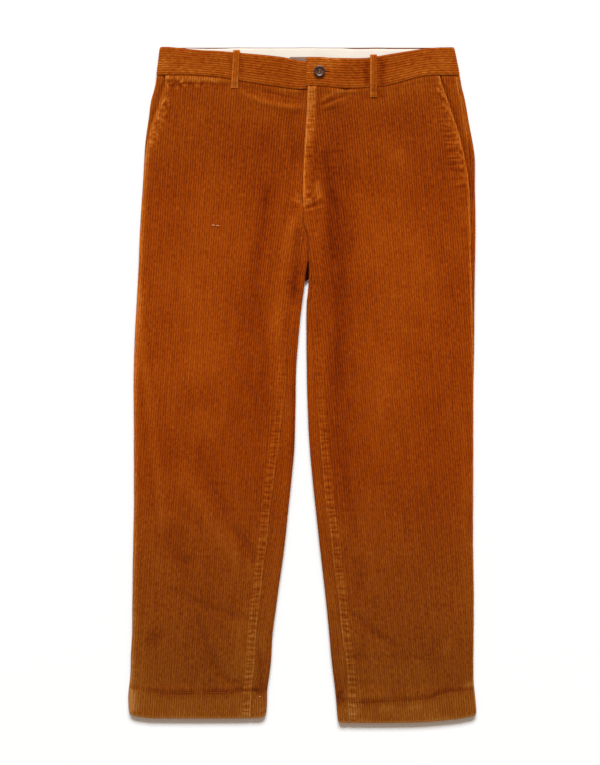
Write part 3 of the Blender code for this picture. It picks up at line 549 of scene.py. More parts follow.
def outer_x(side, y):
    """x of the side fold: a curve through its table."""
    return along(OUTER[side], y)


def inner_x(side, y):
    """x of the line between the legs, or of the leg's inner fold below the crotch."""
    line = np.where(y >= CROTCH_Y, along(CENTRE, y), along(INNER[side], y))
    return line + side * LEG_GAP / 2


def tube_length(side, y):
    """Length of cloth across one face of a leg, from outer fold to inner fold: its width,
    and what the turn at each fold takes beyond that."""
    width = side * (outer_x(side, y) - inner_x(side, y))
    return width + BEND * (1 + split(y))


def across(side, y, s):
    """x of a point s along the cloth from the outer fold's edge, read from the nearer fold.
    Above the crotch there is no inner fold, and the cloth runs flat to the middle."""
    rest = tube_length(side, y) - s
    flat, bent = rest, in_from_fold(rest, FOLD_RADIUS)
    from_outer = outer_x(side, y) - side * in_from_fold(s, FOLD_RADIUS)
    from_inner = inner_x(side, y) + side * (flat + (bent - flat) * split(y))
    return np.where(s < rest, from_outer, from_inner)


def placed_y(side, row_y, x, dips=True):
    """y of a point: its row's, plus how far the hem and the waist seam lie off their levels
    at that x, both fading out towards the middle of the leg."""
    hem = ramp((HEM_Y + HEM_SHAPE - row_y) / HEM_SHAPE)
    y = row_y + hem * (along(HEM_LINE[side], x) - HEM_Y)
    if dips:
        waist = ramp((row_y - DIP_END_Y) / (WAIST_Y - DIP_END_Y))
        y = y + waist * (along(WAIST_SEAM[side], x) - WAIST_Y)
    return y


def underlap(y):
    """How far the right front's extension reaches past the fly's edge."""
    return UNDERLAP * ramp((y - UNDERLAP_END_Y) / UNDERLAP_TAPER)


def fly_lift(x, y):
    """How far the left front rises to lie over the right front's extension."""
    lift = FLY_LIFT * ramp((y - CROTCH_Y - FLY_TOE) / (UNDERLAP_END_Y - CROTCH_Y - FLY_TOE))
    lift = lift + FLY_WAIST_LIFT * ramp((y - WAIST_Y + FLY_WAIST_RISE) / FLY_WAIST_RUN)
    past = x - along(CENTRE, y) - underlap(y) - FLY_FLAT
    return lift * (1 - ramp(past / FLY_SLOPE))


def top_height(side, row_y, s, x, y):
    """Height of the upper face: its rest level, the most of what the side folds, the waist
    and the hem add to it, and the large folds."""
    rest = tube_length(side, row_y) - s
    fold_rise = 2 * FOLD_RADIUS - TOP_LEVEL
    rises = [
        fold_rise * (1 - ramp((s - FOLD_RADIUS) / FOLD_SPREAD)),
        fold_rise * (1 - ramp((rest - FOLD_RADIUS) / FOLD_SPREAD)) * split(row_y),
        (WAIST_LEVEL - TOP_LEVEL) * (1 - ramp((WAIST_Y - row_y) / WAIST_SPREAD)),
        (HEM_LEVEL - TOP_LEVEL) * ramp((HEM_Y + HEM_DEPTH + HEM_RISE - row_y) / HEM_RISE_RUN),
    ]
    level = TOP_LEVEL + np.maximum.reduce(np.broadcast_arrays(*rises))
    legs = split(row_y)
    calm = ramp((s - EDGE_CALM) / OUTER_CALM_RUN)
    calm = calm * (1 - legs + legs * ramp((rest - EDGE_CALM) / INNER_CALM_RUN))
    calm = calm * ramp((row_y - HEM_Y - HEM_CALM) / HEM_CALM_RUN)
    calm = calm * ramp((WAIST_Y - row_y) / WAIST_CALM_RUN)
    return level + calm * fold_relief(x, y)


def top_points(side, row_y, s, lift=None):
    """Points of the upper face, s along the cloth from the outer fold's edge. Round a fold
    the height goes from the fold's middle to the face by the sine of the turn."""
    x = across(side, row_y, s)
    y = placed_y(side, row_y, x)
    face = top_height(side, row_y, s, x, y)
    if lift:
        face = face + lift(x, y)
    rest = tube_length(side, row_y) - s
    z = FOLD_RADIUS + (face - FOLD_RADIUS) * turned(s, FOLD_RADIUS)
    drop = (face - FOLD_RADIUS) * (1 - turned(rest, FOLD_RADIUS))
    return np.stack([x, y, z - split(row_y) * drop], axis=-1)


def back_loop_places():
    """x of the three back belt loops: the middle, and one spacing to each side of it."""
    centre = float(along(CENTRE, BACK_TOP_Y))
    return [centre - BACK_LOOP_SPACING, centre, centre + BACK_LOOP_SPACING]


def loop_rise(x, y):
    """How far the back is raised off the surface by the belt loops under it."""
    rise = 0.0
    for centre in back_loop_places():
        beside = 1 - ramp((abs(x - centre) - LOOP_WIDTH / 2 - LOOP_RISE_FLAT) / LOOP_RISE_SLOPE)
        rise = np.maximum(rise, BACK_LOOP_RISE * beside)
    return rise * ramp((y - WAIST_Y + LOOP_BELOW_SEAM + LOOP_RISE_BELOW) / LOOP_RISE_RUN)


def under_points(side, row_y, s):
    """Points of the lower face, s along the cloth from the outer fold's edge. They come
    down from the fold's middle by the sine of the turn, and rise over the belt loops."""
    x = across(side, row_y, s)
    y = placed_y(side, row_y, x, dips=False)
    rest = tube_length(side, row_y) - s
    z = FOLD_RADIUS * (1 - turned(s, FOLD_RADIUS))
    z = z + split(row_y) * FOLD_RADIUS * (1 - turned(rest, FOLD_RADIUS))
    return np.stack([x, y, z + loop_rise(x, y)], axis=-1)


def back_points(side, row_y, path):
    """Points of a back panel. Its path starts at the outer fold's edge and goes under
    the leg: under 0 it is on top at the outseam, and past the leg's width it has come
    round the inner fold onto the top."""
    length = tube_length(side, row_y)
    over = top_points(side, row_y, np.where(path < 0, -path, 2 * length - path))
    under = under_points(side, row_y, np.clip(path, 0, length))
    on_top = (path < 0) | (path > length)
    return np.where(on_top[..., None], over, under)


def inseam(side, y):
    """Distance from the inner fold to the inseam on top, and 0 above the crotch."""
    return np.where(y >= CROTCH_Y, 0.0, along(INSEAM[side], np.minimum(y, CROTCH_Y)))


def front_edge(side, y):
    """Distance from the outer fold to the front panel's edge: the pocket, then the seam."""
    end = POCKET_EDGE[side][-1].y
    pocket = along(POCKET_EDGE[side], np.maximum(y, end))
    return np.where(y > end, pocket, along(OUTSEAM[side], y)) + SEAM_GAP / 2


def front_end(side, y):
    """Distance from the outer fold to the front panel's other edge: the fly or inseam."""
    end = tube_length(side, y) - inseam(side, y) - SEAM_GAP / 2
    return end + underlap(y) if side == RIGHT else end


def band_height(side, x):
    """Height of the front waistband's face. It rises over the label, and the left
    side's lap rises over the right side's underlap."""
    beside = ramp((abs(x - BAND_CENTRE_X) - BAND_CENTRE_FLAT) / BAND_CENTRE_SLOPE)
    height = BAND_LEVEL + BAND_CENTRE_RISE * (1 - beside)
    if side == LEFT:
        past = ramp((x - BAND_UNDERLAP_X - BAND_LAP_FLAT) / BAND_LAP_SLOPE)
        height = height + BAND_LAP_LIFT * (1 - past)
    return height


def band_points(side, share, path):
    """Points of a waistband, share of the way up it. Its path starts at the side fold:
    over 0 it goes under to the centre back, and under 0 over the front."""
    edge = outer_x(side, WAIST_Y + share * (BACK_TOP_Y - WAIST_Y))
    s = abs(path)
    x = edge - side * in_from_fold(s, BAND_RADIUS)
    lower = along(WAIST_SEAM[side], x) + WAIST_GAP
    front_y = lower + share * (along(BAND_TOP[side], x) - lower)
    back_lower = WAIST_Y + WAIST_GAP
    back_y = back_lower + share * (BACK_TOP_Y - back_lower)
    quarter = BAND_RADIUS * math.pi / 2
    y = front_y + (back_y - front_y) * ramp(path / (2 * quarter) + 0.5)
    turn = turned(s, BAND_RADIUS)
    top = BAND_RADIUS + (band_height(side, x) - BAND_RADIUS) * turn
    under = BAND_RADIUS * (1 - turn) + loop_rise(x, y)
    return np.stack([x, y, np.where(path < 0, top, under)], axis=-1)


def normals(surface, rows, columns, outward):
    """Unit normals of a surface, which is a function of a row and a column value. They
    are read from the surface itself, so two pieces that share it turn alike at a seam."""
    up = surface(rows + DELTA, columns) - surface(rows - DELTA, columns)
    over = surface(rows, columns + DELTA) - surface(rows, columns - DELTA)
    normal = np.cross(up, over) * outward
    return normal / np.linalg.norm(normal, axis=-1, keepdims=True)


# ---------------------------------------------------------------- wales and details
# Details are sums of soft lines. In amount * bell(off - place, width), the place and the
# width are millimetres from an edge or a seam. The amount is a height in millimetres for
# relief, and otherwise a tone painted into the pile as in the marks, partly wear and partly
# painted light and shade, or the strength of puckers or lumps.


def curve_pull(row_y, w):
    """How far the curve of the crotch pulls a wale outwards above it and inwards below."""
    near = bell(abs(w) - CURVE_PLACE, CURVE_SPREAD)
    return CURVE_LEAN * near * np.tanh((row_y - CURVE_Y) / CURVE_REACH)


def wale_place(side, row_y, w):
    """Distance along the cloth from the outer fold to wale line w. Wales are straight and
    evenly spaced in the flat cloth, and run outwards by LEAN for each millimetre down:
    place = side * outer edge + BEND + LEAN * y - w + the crotch's pull."""
    flat = side * outer_x(side, row_y) + BEND + LEAN[side] * row_y
    return flat - w + curve_pull(row_y, w)


def wale_at(side, row_y, s):
    """The wale line at a distance along the cloth: wale_place turned round."""
    flat = side * outer_x(side, row_y) + BEND + LEAN[side] * row_y - s
    w = flat
    for _ in range(3):
        w = flat + curve_pull(row_y, w)
    return w


def rib(w, sizes):
    """Height of the cut pile: |sin|^RIB_POWER of the place between two furrows, so that
    the ribs are round and the furrows narrow, less the part that lies below the face."""
    wave = abs(np.sin(np.pi * w * MM / sizes.wale_pitch)) ** RIB_POWER
    return sizes.wale_height / MM * (wave - RIB_BELOW)


def within(off, start, end, soft):
    """1 between two distances, fading over the soft length inside both."""
    return ramp((off - start) / soft) * ramp((end - off) / soft)


def edge_drop(off):
    """How far a panel's face turns down where it meets a seam."""
    return -EDGE_DROP * (1 - ramp(off / EDGE_ROUND))


def parted(side, y):
    """0 around the crotch, where the panels' edges meet upright, and 1 where a seam is flat."""
    return np.where(y > CROTCH_Y, 1 - split(y), ramp(inseam(side, y) / 9))


def hem_details(side, row_y, x):
    """Relief and tone of a hem: its uneven line of stitching with painted shade in its groove,
    and its lower edge painted lighter, partly as wear and partly as a painted highlight where
    the fold turns under.
    """
    off = row_y - HEM_Y - along(HEM_STITCH[side], x)
    pull = 0.7 + 0.15 * np.sin(x / 7.5) + 0.2 * np.sin(x / 16.0 + 1.0)
    line = bell(off, np.where(off > 0, 3.9, 2.4)) * pull
    relief = -0.3 * line
    # Painted shade in the stitching's groove, and a light edge that is wear and painted highlight.
    tone = -0.95 * line + 0.6 * ramp(-off / 13) + 2.6 * bell(row_y - HEM_Y, 2.5)
    return relief, tone


def waist_details(side, row_y, x):
    """Relief, tone and lumps of a front beside the waistband. The seam's layers lift it,
    and it is pressed and rubbed along the seam, most at the sides. Its tone has a dark line
    just under the band, a painted shadow of the band's edge, and a lighter strip below, partly
    pressed cloth and partly painted light."""
    below = WAIST_Y - row_y
    layers = 0.8 + 0.6 * bell(x - 78, 18.0) * (side == LEFT)
    relief = 0.25 * edge_drop(below) + layers * ramp((10 - below) / 8)
    pressed = ramp((-95 - x) / 40) if side == RIGHT else 0.3 + 0.3 * bell(x - 78, 25.0)
    # Painted light in the strip below the seam, partly pressed cloth, and a painted shadow of the
    # band's edge just under it.
    tone = 1.1 * pressed * bell(below - 3, 6.0) - 1.6 * bell(below, 1.2)
    rubbed = ramp((-115 - x) / 20) * bell(below - 12, 5.0) * (side == RIGHT)
    return relief, tone, 0.0, rubbed


def pocket_details(side, row_y, off):
    """Relief, tone, puckers and lumps beside a pocket's edge and the outseam below it.
    The pocket's edge is a doubled band, rubbed and drawn up by its stitching. The light line
    painted along the edge is partly wear and partly a painted highlight where the cloth turns."""
    pocket = ramp((row_y - POCKET_EDGE[side][-1].y) / 30) * ramp((WAIST_Y - 4 - row_y) / 12)
    # Both sides paint a light line along the edge: a painted highlight where the cloth turns, with
    # wear.
    if side == RIGHT:
        band = within(off, 0, 20, 6) * pocket * ramp((444 - row_y) / 20)
        tone = (1.6 - 0.7 * pocket) * bell(off - 3, 4.6) + 0.75 * band
        rubbed = 1.3 * band + 1.5 * within(off, -2, 34, 8) * bell(row_y - 455, 8.0)
        return edge_drop(off), tone, 0.0, rubbed
    tone = (1.7 - 0.55 * pocket) * bell(off - 1.4, 1.8) + 0.5 * pocket * bell(off - 5, 5.0)
    pucker = 0.65 * within(off, 2, 30, 9) * pocket * bell(row_y - 352, 75.0)
    rubbed = (1.2 + 0.6 * bell(row_y - 445, 15.0)) * within(off, 0, 13, 5) * pocket
    return edge_drop(off), tone, pucker, rubbed


def inseam_details(side, row_y, off):
    """Relief, tone and puckers beside a front's other edge. Below the crotch a puckered
    strip runs down it, between two rubbed lines that grow stronger to the foot."""
    legs = ramp((CROTCH_Y + 4 - row_y) / 8)
    low = ramp((60 - row_y) / 180)
    band = within(off, 0, 15.5, 4) * legs
    rails = 0.9 * bell(off - 1.6, 1.6) + 0.3 * bell(off - 11, 2.0)
    tone = legs * ((0.05 + 0.2 * low) * band + low * rails)
    return edge_drop(off) * parted(side, row_y), tone, (0.15 + 0.45 * low) * band, 0.0


def front_details(side, row_y, s, x, y):
    """Relief in millimetres, tone painted into the pile (wear and painted light and shade)
    and strength of the puckers and of the rubbed lumps of a front panel, beyond its folds and
    ribs."""
    parts = [
        (edge_drop(row_y - HEM_Y), 0.0, 0.0, 0.0),
        (*hem_details(side, row_y, x), 0.0, 0.0),
        waist_details(side, row_y, x),
        pocket_details(side, row_y, s - front_edge(side, row_y)),
        inseam_details(side, row_y, front_end(side, row_y) - s),
    ]
    if side == LEFT:
        parts.append(fly_details(row_y, x - along(CENTRE, y) - LEG_GAP / 2))
    return [sum(values) + 0 * s for values in zip(*parts)]


def fly_details(row_y, off):
    """Relief, tone, puckers and lumps of the fly: a pressed fold along its edge, a strip
    beside it that the facing inside lifts, and the curved line of stitching. Its tone has a
    bright line along the fold's edge, a painted highlight, and lighter strips beside it that
    are partly wear and partly painted light on the raised cloth; the dark lines beyond the
    strip and along the stitching are painted shade."""
    above = ramp((row_y - CROTCH_Y - 4) / 10)
    strip = within(off, 0, 14.5, 2.5)
    stitch = off - along(FLY_STITCH, row_y)
    line = bell(stitch, 1.6) * ramp((row_y - 266) / 6)
    relief = above * (0.25 * strip - 0.1 * line)
    high = ramp((row_y - 345) / 30)
    # worn holds a painted highlight along the fold's edge and lighter strips that are partly wear
    # and partly painted light; the dark lines below are painted shade.
    worn = (0.1 + 0.8 * high + 0.3 * ramp((row_y - 395) / 25)) * bell(off - 11, 3.8)
    worn = worn + (0.4 + 0.85 * high) * within(off, 0.3, 9.5, 2.5) + 2.2 * bell(off - 1.1, 2.1)
    tone = above * (0.15 * strip + worn - 0.4 * bell(off - 17.5, 3.5) - 0.2 * line)
    puckers = 0.35 * strip + 0.2 * within(off, 12, 34, 8) * bell(row_y - 320, 45.0)
    return relief, tone, above * puckers, above * 0.6 * strip


def back_details(side, row_y, path, x):
    """Relief, tone, puckers and lumps of a back panel, beyond its folds and ribs. The lighter
    lines at the folds' edges and along the outseam are painted highlights where the cloth turns.
    """
    length = tube_length(side, row_y)
    outer_off = path + along(OUTSEAM[side], row_y)
    inner_off = length + inseam(side, row_y) - path
    relief, tone = hem_details(side, row_y, x)
    relief = relief + edge_drop(outer_off) + edge_drop(inner_off) * parted(side, row_y)
    relief = relief + 0.6 * edge_drop(WAIST_Y - row_y) + edge_drop(row_y - HEM_Y)
    seat = within(inner_off, 0, 9, 3) * ramp((row_y - CROTCH_Y) / 10)
    # Painted highlights at the folds' edges and along the outseam's strip where the cloth turns.
    tone = tone + 0.3 * seat + 0.5 * bell(path, 4.0) + 0.1 * bell(path - length, 4.0)
    edge = 0.8 if side == RIGHT else -0.1 + 1.2 * ramp((row_y - 365) / 20)
    tone = tone + edge * bell(outer_off - 0.8, 2.0) * (path < 0)
    return relief, tone, seat, 0.0 * seat


# ---------------------------------------------------------------- shells


def trimmed(s, first, last):
    """Columns cut off at two edges. It returns them with the edges as the first and last
    column, and an index grid in which every point past an edge is that edge's own point."""
    grid = np.concatenate([first, np.clip(s, first, last), last], axis=1)
    index = np.arange(grid.size).reshape(grid.shape)
    middle = index[:, 1:-1]
    middle = np.where(s < first + NEAR_EDGE, index[:, :1], middle)
    middle = np.where(s > last - NEAR_EDGE, index[:, -1:], middle)
    return grid, np.concatenate([index[:, :1], middle, index[:, -1:]], axis=1)


def quads(index):
    """The corners of each cell of an index grid, in turn round it."""
    corners = [index[:-1, :-1], index[1:, :-1], index[1:, 1:], index[:-1, 1:]]
    return np.stack([corner.ravel() for corner in corners], axis=1)


def triangles(index):
    """Two triangles for each cell of an index grid, without those that have no area."""
    cells = quads(index)
    faces = np.concatenate([cells[:, [0, 1, 2]], cells[:, [0, 2, 3]]])
    a, b, c = faces.T
    return faces[(a != b) & (b != c) & (c != a)]


def zipped(outer, outer_at, inner, inner_at):
    """Triangles between two lines of points, where every point is joined to the nearest
    on the other line. Each line comes with its places, in rising order."""
    keep = np.append(True, outer[1:] != outer[:-1])
    outer, outer_at = outer[keep], outer_at[keep]
    middles = (outer_at[1:] + outer_at[:-1]) / 2
    switches = (inner_at[1:] + inner_at[:-1]) / 2
    near = np.searchsorted(switches, middles, side="left")
    turn = np.searchsorted(middles, switches, side="right")
    there = np.stack([outer[:-1], outer[1:], inner[near]], axis=1)
    back = np.stack([outer[turn], inner[1:], inner[:-1]], axis=1)
    return np.concatenate([there, back])


def shell_faces(index, at, inner, inner_at):
    """Triangles of a closed shell: the outer grid, the inner grid turned over, and the
    four sides between them. It also returns how many belong to the outer grid and sides."""
    row = np.arange(len(index), dtype=float)
    sides = [
        zipped(index[0], at[0], inner[0], inner_at[0]),
        zipped(index[:, -1], row, inner[:, -1], row),
        zipped(index[-1][::-1], -at[-1][::-1], inner[-1][::-1], -inner_at[-1][::-1]),
        zipped(index[::-1, 0], row, inner[::-1, 0], row),
    ]
    faces = np.concatenate([triangles(index), *sides])
    return np.concatenate([faces, triangles(inner)[:, ::-1]]), len(faces)


def new_mesh_object(name, points, faces, smooth_angle=70):
    """An object at the origin whose mesh has the given points, in millimetres."""
    used, faces = np.unique(faces, return_inverse=True)
    faces = faces.reshape(-1, 3)
    mesh = bpy.data.meshes.new(name)
    mesh.vertices.add(len(used))
    mesh.vertices.foreach_set("co", (points[used] * MM).astype(np.float32).ravel())
    mesh.loops.add(faces.size)
    mesh.loops.foreach_set("vertex_index", faces.astype(np.int32).ravel())
    mesh.polygons.add(len(faces))
    mesh.polygons.foreach_set("loop_start", np.arange(0, faces.size, 3, dtype=np.int32))
    mesh.update(calc_edges=True)
    mesh.validate()
    mesh.shade_smooth()
    mesh.set_sharp_from_angle(angle=math.radians(smooth_angle))
    obj = bpy.data.objects.new(name, mesh)
    bpy.context.scene.collection.objects.link(obj)
    return obj, used


def give_uv(obj, uv):
    """Gives a mesh its cloth UV map, one pair of numbers for each vertex."""
    mesh = obj.data
    corner = np.empty(len(mesh.loops), np.int32)
    mesh.loops.foreach_get("vertex_index", corner)
    layer = mesh.uv_layers.new(name="cloth")
    layer.data.foreach_set("uv", uv[corner].astype(np.float32).ravel())


def give_values(obj, name, values):
    """Gives a mesh an attribute of one number for each vertex."""
    layer = obj.data.attributes.new(name, "FLOAT", "POINT")
    layer.data.foreach_set("value", values.astype(np.float32))


def cloth_shell(
    name, surface, rows, s, index, inner_s, outward, thickness, look, uv, materials
):
    """A closed shell of cloth. The outer points are the surface's, moved out by the relief
    and kept above the ground, and the inner grid lies a thickness further in."""
    relief, *marks = look
    rows_2d = np.broadcast_to(rows, s.shape)
    outer = surface(rows_2d, s) + normals(surface, rows_2d, s, outward) * relief[..., None]
    rows_in = np.broadcast_to(rows, inner_s.shape)
    thick = np.broadcast_to(thickness, inner_s.shape)
    inner = surface(rows_in, inner_s)
    inner = inner - normals(surface, rows_in, inner_s, outward) * thick[..., None]
    outer[..., 2] = np.maximum(outer[..., 2], GROUND)
    inner_index = outer[..., 0].size + np.arange(inner_s.size).reshape(inner_s.shape)
    faces, front = shell_faces(index, s, inner_index, inner_s)
    if outward > 0:
        faces = faces[:, ::-1]
    points = np.concatenate([outer.reshape(-1, 3), inner.reshape(-1, 3)])
    obj, used = new_mesh_object(name, points, faces)
    inner_uv = np.stack([inner_s * 0.0, rows_in * MM / REVERSE_PITCH], axis=-1)
    give_uv(obj, np.concatenate([uv.reshape(-1, 2), inner_uv.reshape(-1, 2)])[used])
    for kind, values in zip(("tone", "pucker", "rubbed"), marks):
        give_values(obj, kind, np.append(values.ravel(), np.zeros(inner_s.size))[used])
    for material in materials:
        obj.data.materials.append(material)
    which = (np.arange(len(faces)) >= front).astype(np.int32)
    obj.data.polygons.foreach_set("material_index", which)
    return obj


def stepped_rows(bands):
    """Rows as the bands say, with closer ones at both ends, where the cloth turns down."""
    first, last = bands[0].start, bands[-1].start
    parts = [[first + 0.6, first + 1.3, last - 1.3, last - 0.6]]
    for band, after in zip(bands, bands[1:]):
        count = round((after.start - band.start) / band.step)
        parts.append(np.linspace(band.start, after.start, count + 1))
    return np.unique(np.round(np.concatenate(parts), 3))[:, None]


def leg_piece(
    name, side, rows, first, last, surface, outward, thickness, inner_s, details, sizes, materials
):
    """A shell of leg cloth whose columns run along the wales between its two edges."""
    step = sizes.wale_pitch / MM / POINTS_PER_WALE
    flat = side * outer_x(side, rows) + BEND + LEAN[side] * rows
    highest = math.ceil((flat - first).max() / step) + 2 * POINTS_PER_WALE
    lowest = math.floor((flat - last).min() / step) - 2 * POINTS_PER_WALE
    w = np.arange(highest, lowest - 1, -1)[None, :] * step
    s, index = trimmed(wale_place(side, rows, w), first, last)
    w = wale_at(side, rows, s)
    points = surface(np.broadcast_to(rows, s.shape), s)
    relief, *marks = details(rows, s, points[..., 0], points[..., 1])
    uv = np.stack([w * MM / sizes.wale_pitch, rows * MM / sizes.wale_pitch + 0 * s], axis=-1)
    return cloth_shell(
        name, surface, rows, s, index, inner_s, outward, thickness,
        (relief + rib(w, sizes), *marks), uv, materials,
    )


def spread(starts, segments):
    """Columns between the given starts, each an array of one value for each row."""
    parts = []
    for first, last, count in zip(starts[:-1], starts[1:], segments):
        share = np.arange(count) / count
        parts.append(first + (last - first) * share)
    return np.concatenate(parts + [starts[-1]], axis=1)


def panel_cloth(rows):
    """The wall's thickness down a panel: one layer, and two where the hem turns up."""
    return CLOTH + (HEM_CLOTH - CLOTH) * (rows < HEM_Y + HEM_DEPTH)


def painted_fold_light_and_marks(x, y):
    """Tone painted to go with the folds, painted light on ridges and painted shade in troughs, and
    the marks' patches.
    """
    return 0.45 * fold_relief(x, y) + strokes(MARKS, x, y)


def front_surface(side):
    """The upper face, with the left front raised over the fly's extension."""
    return partial(top_points, side, lift=fly_lift if side == LEFT else None)


def front_panel(side, sizes, materials):
    """From the pocket edge or the outseam to the fly or the inseam."""
    rows = stepped_rows(ROWS["front"])
    first, last = front_edge(side, rows), front_end(side, rows)
    bend = np.maximum(QUARTER, first + 3)
    before = np.minimum(tube_length(side, rows) - QUARTER, last - 3)

    def details(row, s, x, y):
        relief, tone, pucker, rubbed = front_details(side, row, s, x, y)
        fine = strokes(CREASES, x, y)
        # The creases' and folds' heights also go into the tone, as painted light and shade.
        return relief + fine, tone + 2.5 * fine + painted_fold_light_and_marks(x, y), pucker, rubbed

    inner_s = spread([first, bend, before, last], [2, 20, 2])
    return leg_piece(
        f"front_{WORD[side]}_cloth", side, rows, first, last, front_surface(side), side,
        panel_cloth(rows), inner_s, details, sizes, materials,
    )


def back_panel(side, sizes, materials):
    """From the outseam round the outer fold, under the leg, to the seat seam or,
    round the inner fold, to the inseam."""
    rows = stepped_rows(ROWS["back"])
    length = tube_length(side, rows)
    first = -along(OUTSEAM[side], rows) + SEAM_GAP / 2
    last = length + inseam(side, rows) - np.where(rows > CROTCH_Y, 0.01, SEAM_GAP / 2)
    over_inner = np.minimum(length + QUARTER, last - 3)
    inner = np.minimum(length, over_inner - 3)
    under_inner = np.minimum(length - QUARTER, inner - 3)
    edge = 0 * rows
    starts = [first, edge, edge + QUARTER, under_inner, inner, over_inner, last]
    inner_s = spread(starts, [2, 3, 22, 2, 3, 2])

    def details(row, path, x, y):
        relief, tone, pucker, rubbed = back_details(side, row, path, x)
        on_top = (path < 0) | (path > tube_length(side, row))
        return relief, tone + on_top * painted_fold_light_and_marks(x, y), pucker, rubbed

    return leg_piece(
        f"back_{WORD[side]}_cloth", side, rows, first, last, partial(back_points, side), -side,
        panel_cloth(rows), inner_s, details, sizes, materials,
    )


def pocket_facing(side, sizes, materials):
    """The cloth behind a slanted pocket, tucked under the front at the pocket's edge."""
    end = POCKET_EDGE[side][-1].y
    rows = stepped_rows([RowBand(end - POCKET_TAIL, 1.8), RowBand(WAIST_Y, 0)])
    edge = along(POCKET_EDGE[side], np.maximum(rows, end))
    first = along(OUTSEAM[side], rows) + SEAM_GAP / 2

    def sunk(row, off):
        step = POCKET_STEP - 4.5 * ramp((row - WAIST_Y + 25) / 20)
        return (CLOTH + SEAM_GAP) * (1 - ramp((off - 1) / step))

    def details(row, s, x, y):
        off = along(POCKET_EDGE[side], np.maximum(row, end)) - s
        outer_off = s - along(OUTSEAM[side], row)
        relief = edge_drop(outer_off) + 0.3 * edge_drop(WAIST_Y - row) - sunk(row, off)
        # Painted highlight along the outer fold, and painted shade where the facing goes under the
        # front's edge.
        rise = 1.2 * ramp((row - 365) / 20) if side == LEFT else 0.6
        plain, shade = (0.05, -0.75) if side == LEFT else (0.2, -0.4)
        tone = 0.35 * painted_fold_light_and_marks(x, y) + rise * bell(outer_off - 1, 2.0) + 0.3 * bell(s, 6.0)
        return relief, tone + plain + shade * bell(off - 0.5, 2.5), 0 * s

    inner_s = spread([first, edge + 2, edge + POCKET_TUCK], [5, 4])
    return leg_piece(
        f"pocket_facing_{WORD[side]}_cloth", side, rows, first, edge + POCKET_TUCK,
        partial(top_points, side), side, POCKET_CLOTH + sunk(rows, edge - inner_s), inner_s,
        details, sizes, materials,
    )


# ---------------------------------------------------------------- waist


def grid_piece(name, surface, rows, columns, outward, thickness, look, uv, materials):
    """A shell on a plain grid, whose inner side keeps every fourth column."""
    s = np.broadcast_to(columns, (rows.size, columns.shape[1])).copy()
    index = np.arange(s.size).reshape(s.shape)
    keep = np.unique(np.append(np.arange(0, s.shape[1], 4), s.shape[1] - 1))
    return cloth_shell(
        name, surface, rows, s, index, s[:, keep], outward,
        np.broadcast_to(thickness, s.shape)[:, keep],
        [value + 0 * s for value in look], uv, materials,
    )


def waistband(side, sizes, materials):
    """From the fly round the side to the centre back, with its wales along it."""
    share = np.linspace(0, 1, BAND_WALES * POINTS_PER_WALE + 1)
    share = np.unique(np.append(share, [0.004, 0.996]))[:, None]
    edge = outer_x(side, WAIST_Y + share * (BACK_TOP_Y - WAIST_Y))
    bend = (math.pi / 2 - 1) * BAND_RADIUS
    front_end_x = BAND_LAP_X if side == LEFT else BAND_UNDERLAP_X
    centre = along(CENTRE, BACK_TOP_Y) + side * SEAM_GAP / 2
    first = -(side * (edge - front_end_x) + bend)
    last = side * (edge - centre) + bend
    quarter = BAND_RADIUS * math.pi / 2 + 0 * share
    starts = [first, first + 2, -quarter, 0 * share, quarter, last - 2, last]
    path = spread(starts, [3, 76, 5, 5, 60, 3])
    surface = partial(band_points, side)
    x, y, _ = np.moveaxis(surface(share + 0 * path, path), -1, 0)
    front = path < 0
    ends = np.minimum(path - first, last - path)
    edges = np.minimum(share, 1 - share) * BAND_HEIGHT
    relief = rib(share * BAND_WALES * sizes.wale_pitch / MM, sizes) * 0.85
    relief = relief - (BAND_EDGE + 0.4) * (1 - ramp(edges / 3.2)) - 0.7 * (1 - ramp(ends / 1.8))
    tone = 0.1 + np.where(share < 0.5, 0.5, -0.3) * bell(edges, 2.5) * front
    tone = tone + 0.3 * bell(path - first, 2.5) + front * strokes(BAND_MARKS, x, y)
    hole, hole_tone = buttonhole(share, x) if side == LEFT else (0.0, 0.0)
    relief, tone = relief + hole * front, tone + hole_tone * front
    uv = np.stack([share * BAND_WALES + 0 * path, path * MM / sizes.wale_pitch], axis=-1)
    return grid_piece(
        f"waistband_{WORD[side]}_cloth", surface, share, path, -side,
        BAND_CLOTH - 0.6, (relief, tone, 0.0), uv, materials,
    )


def buttonhole(share, x):
    """A slit beside the button, sunk between two raised lips. Its tone paints shade in the slit and
    light on the lips.
    """
    off = (share - 0.5) * BAND_HEIGHT - 0.5
    reach = within(x, BUTTON_PLACE[0] - 6, BUTTON_PLACE[0] + 17, 2)
    slit = bell(off, 0.9) * reach
    lips = bell(abs(off) - 2.3, 1.2) * reach
    return 0.3 * lips - 0.9 * slit, 0.2 * lips - 1.1 * slit


def strip_piece(
    name, x_range, y_range, lift, thickness, steps, relief, material, rise=np.zeros_like
):
    """A flat piece between two x and two y, its top lifted off the surface and over the
    belt loops below, whose upper edge is moved up by the rise given for each x."""
    x = np.linspace(*x_range, steps[0] + 1)[None, :]
    y = np.linspace(*y_range, steps[1] + 1)[:, None]

    def surface(row, column):
        up = rise(column) * (row - y_range[0]) / (y_range[1] - y_range[0])
        height = lift + loop_rise(column, row)
        return np.stack(np.broadcast_arrays(column, row + up, height), axis=-1)

    uv = np.stack([x + 0 * y, y + 0 * x], axis=-1) * MM / REVERSE_PITCH
    look = (relief(x, y), 0.0, 0.0)
    return grid_piece(name, surface, y, x + 0 * y, -1, thickness, look, uv, [material])


